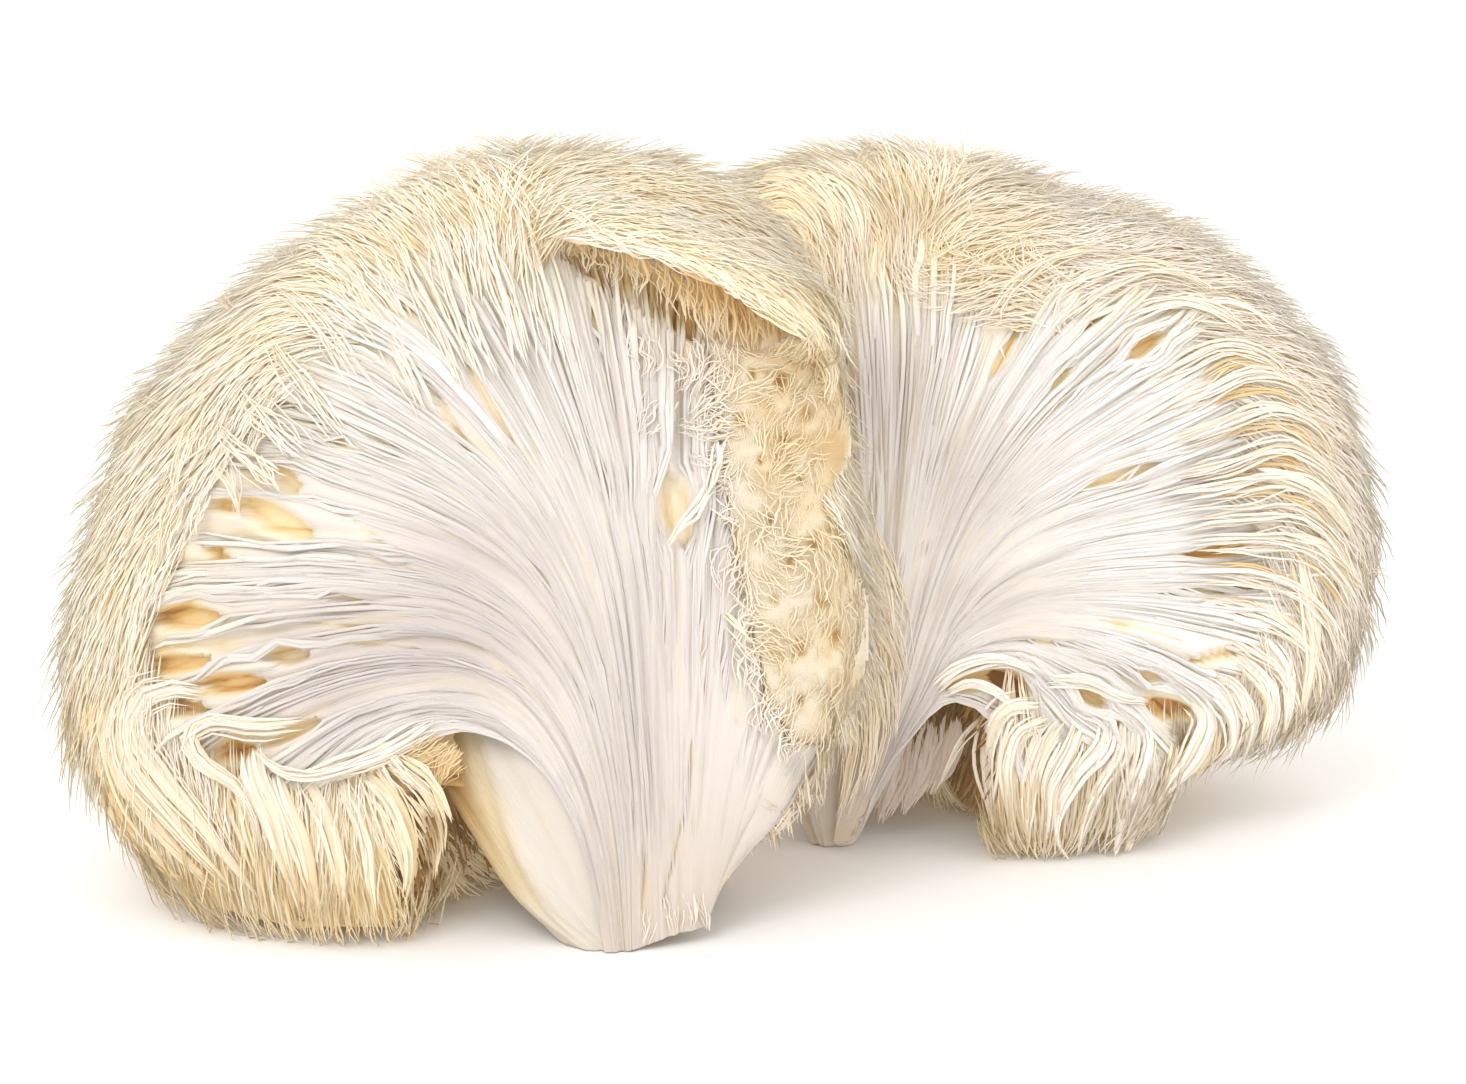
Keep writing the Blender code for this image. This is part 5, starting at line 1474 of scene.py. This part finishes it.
RIGHT_LONG = (  # from the right face over its rim
    (((1120, 402), (1180, 366), (1230, 346), (1275, 360), (1300, 386)), 13, 13, 0.18, (0.1, 1.6), (0.02, 0.22)),
    (((1130, 427), (1200, 400), (1260, 374), (1300, 386), (1325, 416)), 13, 13, 0.18, (0.1, 1.6), (0.02, 0.22)),
    (((1150, 452), (1215, 430), (1270, 409), (1315, 426), (1340, 462)), 13, 13, 0.18, (0.1, 1.8), (0.02, 0.22)),
    (((1160, 476), (1230, 462), (1285, 446), (1325, 466), (1350, 506)), 13, 13, 0.18, (0.1, 1.8), (0.02, 0.22)),
    (((1160, 501), (1230, 490), (1290, 481), (1335, 506), (1358, 546)), 13, 13, 0.18, (0.1, 1.8), (0.02, 0.22)),
    (((1170, 526), (1240, 518), (1295, 516), (1335, 541), (1360, 586)), 13, 13, 0.18, (0.1, 1.8), (0.02, 0.22)),
    (((1180, 551), (1250, 548), (1300, 551), (1340, 581), (1362, 626)), 13, 13, 0.18, (0.1, 1.8), (0.02, 0.22)),
    (((1180, 576), (1245, 579), (1295, 591), (1330, 621), (1345, 666)), 13, 13, 0.18, (0.1, 1.8), (0.02, 0.22)),
    (((1185, 606), (1245, 613), (1290, 631), (1320, 666), (1325, 711)), 13, 13, 0.18, (0.1, 1.8), (0.02, 0.22)),
    (((1180, 631), (1235, 646), (1275, 669), (1298, 706), (1298, 746)), 13, 13, 0.18, (0.1, 1.6), (0.02, 0.22)),
    (((1180, 332), (1215, 306), (1250, 311), (1282, 338)), 13, 13, 0.18, (0.1, 1.6), (0.04, 0.24)),
    (((1090, 346), (1140, 311), (1185, 301), (1225, 316), (1258, 338)), 13, 13, 0.18, (0.1, 1.6), (0.04, 0.24)),
    (((1060, 331), (1105, 296), (1150, 276), (1190, 281), (1225, 302)), 13, 13, 0.16, (0.1, 1.4), (0.05, 0.26)),
    (((1030, 321), (1065, 291), (1110, 269), (1150, 263), (1190, 276)), 13, 13, 0.16, (0.1, 1.4), (0.08, 0.30)),
    (((990, 330), (1005, 296), (1035, 268), (1075, 252), (1115, 248)), 13, 13, 0.15, (0.1, 1.2), (0.10, 0.34)),
)
RIGHT_GOLDEN_SHADE = (  # strands lower down, between those locks, golden as the painted shade between them
    (((1196, 384), (1240, 362), (1280, 372), (1308, 400)), 9, 9, 0.14, (-0.3, 0.5), (0.48, 0.52)),
    (((1190, 414), (1240, 392), (1284, 396), (1322, 432)), 9, 10, 0.14, (-0.3, 0.5), (0.54, 0.54)),
    (((1196, 446), (1250, 424), (1300, 430), (1340, 482)), 9, 10, 0.14, (-0.3, 0.5), (0.46, 0.50)),
    (((1200, 474), (1256, 462), (1300, 468), (1344, 520)), 9, 10, 0.14, (-0.3, 0.5), (0.58, 0.54)),
    (((1210, 498), (1262, 492), (1306, 504), (1348, 560)), 9, 10, 0.14, (-0.3, 0.5), (0.44, 0.50)),
    (((1200, 548), (1256, 542), (1306, 560), (1350, 614)), 9, 10, 0.14, (-0.3, 0.5), (0.60, 0.54)),
    (((1206, 570), (1262, 572), (1306, 590), (1344, 648)), 9, 10, 0.14, (-0.3, 0.5), (0.50, 0.50)),
    (((1190, 600), (1250, 604), (1296, 626), (1326, 688)), 9, 10, 0.14, (-0.3, 0.5), (0.58, 0.52)),
    (((1196, 634), (1244, 642), (1284, 668), (1304, 722)), 9, 10, 0.14, (-0.3, 0.5), (0.50, 0.50)),
    (((1270, 400), (1316, 420), (1340, 470)), 9, 8, 0.14, (-0.3, 0.5), (0.54, 0.50)),
)
LEFT_LONG = (  # from the left face up into the fur over it
    (((470, 400), (440, 330), (415, 280), (395, 240), (378, 212)), 18, 15, 0.15, (0.1, 1.2), (0.03, 0.28)),
    (((430, 420), (395, 350), (365, 300), (340, 262), (316, 244)), 18, 15, 0.15, (0.1, 1.2), (0.03, 0.28)),
    (((390, 430), (350, 375), (320, 330), (290, 298), (262, 284)), 18, 15, 0.15, (0.1, 1.2), (0.03, 0.28)),
    (((350, 440), (312, 396), (284, 360), (266, 334)), 18, 13, 0.15, (0.1, 1.2), (0.03, 0.28)),
    (((495, 385), (470, 320), (450, 268), (432, 225), (415, 190)), 18, 15, 0.15, (0.1, 1.2), (0.03, 0.28)),
    (((525, 380), (505, 310), (490, 260), (476, 215), (462, 182)), 18, 15, 0.15, (0.1, 1.2), (0.03, 0.28)),
    (((560, 370), (545, 300), (532, 250), (522, 210), (512, 178)), 18, 15, 0.15, (0.1, 1.2), (0.03, 0.28)),
    (((310, 460), (276, 428), (250, 402), (236, 382)), 20, 12, 0.13, (0.1, 0.9), (0.03, 0.28)),
    (((280, 490), (250, 466), (228, 444), (216, 424)), 20, 10, 0.13, (0.1, 0.9), (0.04, 0.26)),
)
FACE_BANDS = (  # bands that cross the right face beside its hollow
    (((1045, 677), (1089, 680), (1124, 697), (1152, 701)), 12, 20, 0.22, (0.4, 0.8), (0.03, 0.05)),
    (((944, 696), (972, 685), (997, 694), (1012, 706), (1046, 708)), 8, 16, 0.2, (0.4, 1.0), (0.04, 0.05)),
    (((930, 690), (960, 668), (1004, 660), (1040, 676)), 12, 20, 0.22, (0.4, 0.8), (0.03, 0.03)),
)
SHADED = (  # the strands that hang in shade beside the right stem, painted greyish
    (((906, 728), (898, 776), (880, 826)), 20, 28, 0.24, (0.0, 0.0), (0.06, 0.06)),
    (((932, 718), (922, 764), (902, 818)), 20, 28, 0.24, (0.0, 0.0), (0.06, 0.06)),
    (((956, 714), (948, 752), (930, 796)), 16, 22, 0.24, (0.0, 0.0), (0.08, 0.10)),
)


def wisps(name, table, seed, count=7, m=9):
    """Fine curls that stand off the outline, each at the depth of its root."""
    rng = np.random.default_rng(seed)
    made = []
    for guide in table:
        root = on_solid(np.array([[guide[0][0]]], float), np.array([[guide[0][1]]], float))[0, 0]
        line = curve(guide, m)
        off = rng.normal(0, 7, (count, 1, 2)) * np.array([1.0, 0.6]) + rng.normal(0, 2.4, (count, 1, 2)) * np.linspace(0, 1, m)[None, :, None] ** 1.5
        bend = np.linspace(0, 1, m)[None, :] ** 2 * rng.normal(0, 5, (count, 1))
        grow = rng.uniform(0.55, 1.1, (count, 1, 1))
        at = line[:1][None] + (line - line[:1])[None] * grow + off
        at[..., 0] += bend
        points = unproject(at[..., 0], at[..., 1], root[1] + 1.0 + rng.normal(0, 0.8, (count, 1)) + np.zeros((count, m)))
        radii = np.maximum(0.10 * (1 - 0.75 * np.linspace(0, 1, m)[None, :] ** 1.4) * rng.uniform(0.7, 1.2, (count, 1)), 0.02)
        points[..., 2] = np.maximum(points[..., 2], 0.2)
        tone = 0.34 - 0.10 * np.linspace(0, 1, m)[None, :] + rng.normal(0, 0.03, (count, 1))
        light = 0.40 + rng.normal(0, 0.05, (count, 1)) + np.zeros((1, m))
        made.append(tubes(points, radii, 3, np.clip(tone, 0.002, 0.998), np.clip(light, 0.02, 0.98), [0.1, -1, 0.3], soft=0.6))
    strand_piece(name, joined(made), spine_look)


def locks(name, table, seed, where=None, curl=1.0, shade=0.95, full=False):
    """full puts a few thick, smooth strands under the fine ones."""
    rng = np.random.default_rng(seed)
    made = [lock(rng, *row, curl=curl, where=where, shade=shade, tip=0.22 if full else 0.4) for row in table]
    if full:
        for guide, width, _, radius, lifts, tones in table:
            if radius > 0.2:
                under = (lifts[0] - 0.4, lifts[1] - 0.6)
                # Painted shade: the thick strands under the fine ones are more golden and darker.
                made.append(lock(rng, guide, 0.6 * width, 4, 0.032 * width, under, (tones[0] + 0.08, tones[1] + 0.06), curl=0.4, tip=0.3, early=0.06, where=where, shade=shade - 0.10, m=12, sides=5))
    return strand_piece(name, joined(made), spine_look)


locks("left_skirt_locks", FLOW, 301, curl=0.6, shade=0.80, full=True)
locks("left_face_locks", CURL, 302, where=left_face, shade=0.84)
locks("under_flap", UNDER, 311, where=left_face, curl=1.2, shade=0.95)
locks("frayed_edge", FRAY, 313, where=left_face, curl=1.6, shade=0.80)
wisps("wisps", WISPS, 312)
locks("left_foot_ends", FOOT, 303, where=left_face, curl=0.5, shade=0.70)
locks("merging_fuzz", MERGE, 308, where=right_face, curl=0.7, shade=0.86)
locks("flap_ends", FLAP_ENDS, 304)
locks("right_lobe_locks", SWIRL, 305, curl=0.6, shade=0.90, full=True)
locks("right_long_locks", RIGHT_LONG, 309, curl=1.3, shade=0.86)
locks("right_golden_shade", RIGHT_GOLDEN_SHADE, 314, curl=1.2, shade=0.90)
locks("left_long_locks", LEFT_LONG, 310, curl=1.3, shade=0.84)
locks("right_face_bands", FACE_BANDS, 306, where=right_face, curl=0.4)
locks("shaded_spines", SHADED, 307, where=lambda x, z: right_face(x, z) + 7.0, shade=0.22)
print("locks", round(time.time() - began, 1))

# ------------------------------------------------------------------- the core

core_zone = zones(co, vertex_normals)
core_bare = (core_zone["left_bare"] | core_zone["right_bare"]) & ~core_zone["wool"]
core_points = co - vertex_normals * np.where(core_bare, 7.0, np.where(core_zone["wool"], 2.5, 2.6))[:, None]
# The core is golden tan: partly its own colour, partly painted shade seen in the gaps between the spines.
core_tone = np.where(core_zone["wool"], 0.40, 0.55)
core_shade = np.where(core_zone["wool"], 0.5, 0.72)
for stem, part, back in ((LEFT_STEM, "left_stem", 9.0), (RIGHT_STEM, "right_stem", 43.0)):
    radius = np.hypot(co[:, 0] - stem[0], co[:, 1] - stem[1])
    inner = core_zone[part] | ((co[:, 2] < 26) & (radius < stem_radius(co[:, 2], LEFT_STEM_SIDE if part == "left_stem" else RIGHT_STEM_SIDE) + 1.6))
    middle_y = back + 0.25 * core_points[inner, 2]
    core_points[inner, 0] = stem[0] + 0.6 * (co[inner, 0] - stem[0])
    core_points[inner, 1] = middle_y + 0.45 * (co[inner, 1] - middle_y)
walls = core_zone["hollow"] & ~core_zone["left_stem"] & ~core_zone["right_stem"]
under = core_zone["under"]
core_points[under, 1] = left_face(co[under, 0], co[under, 2]) + 6.5
# Painted shade under the flap: the core there is golden brown.
core_tone[under], core_shade[under] = 0.64 + 0.16 * smooth(640, 720, core_zone["px"][under]), 0.72
core_points[walls, 1] += 3.5
# Painted shade: the hollows' walls are dark golden brown.
core_tone[walls], core_shade[walls] = 0.88, 0.32
core_points[:, 2] = np.maximum(core_points[:, 2], 0.4)
core = mesh_object(
    "soft_core", core_points, [], tri, {"OFBake": np.stack([core_tone + 0.02 * np.sin(co[:, 0]), core_shade + 0.02 * np.sin(co[:, 2])], 1)}, core_look
)
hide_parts("fruit_body")

# --------------------------------------------------------------- floor and light

floor_data = bpy.data.meshes.new("floor")
floor_data.from_pydata([(-6, -6, 0), (6, -6, 0), (6, 8, 0), (-6, 8, 0)], [], [(0, 1, 2, 3)])
floor = bpy.data.objects.new("floor", floor_data)
scene.collection.objects.link(floor)
pale = bpy.data.materials.new("pale_floor")
pale.use_nodes = True
pale.node_tree.nodes["Principled BSDF"].inputs["Base Color"].default_value = (0.82, 0.81, 0.795, 1)
pale.node_tree.nodes["Principled BSDF"].inputs["Roughness"].default_value = 0.7
floor_data.materials.append(pale)

world = bpy.data.worlds.new("soft_white")
world.use_nodes = True
world.node_tree.nodes["Background"].inputs["Color"].default_value = (1.0, 1.0, 1.0, 1)
world.node_tree.nodes["Background"].inputs["Strength"].default_value = 1.17
scene.world = world


def lamp(name, place, target, size, power, colour=(1, 1, 1)):
    data = bpy.data.lights.new(name, "AREA")
    data.shape = "SQUARE"
    data.size = size
    data.energy = power
    data.color = colour
    made = bpy.data.objects.new(name, data)
    made.location = place
    made.rotation_euler = (Vector(target) - Vector(place)).to_track_quat("-Z", "Y").to_euler()
    scene.collection.objects.link(made)


lamp("key_light", (-0.35, -0.55, 0.75), (0, 0, 0.04), 0.5, 3.3)
lamp("fill_light", (0.7, -0.3, 0.6), (0, 0, 0.04), 0.6, 1.3)
lamp("back_light", (0.1, 0.8, 0.8), (0, 0, 0.04), 0.6, 1.4)
lamp("front_light", (0.05, -1.1, 0.32), (0, 0, 0.05), 0.9, 1.6)

print("triangles", sum(made_triangles.values()), made_triangles)
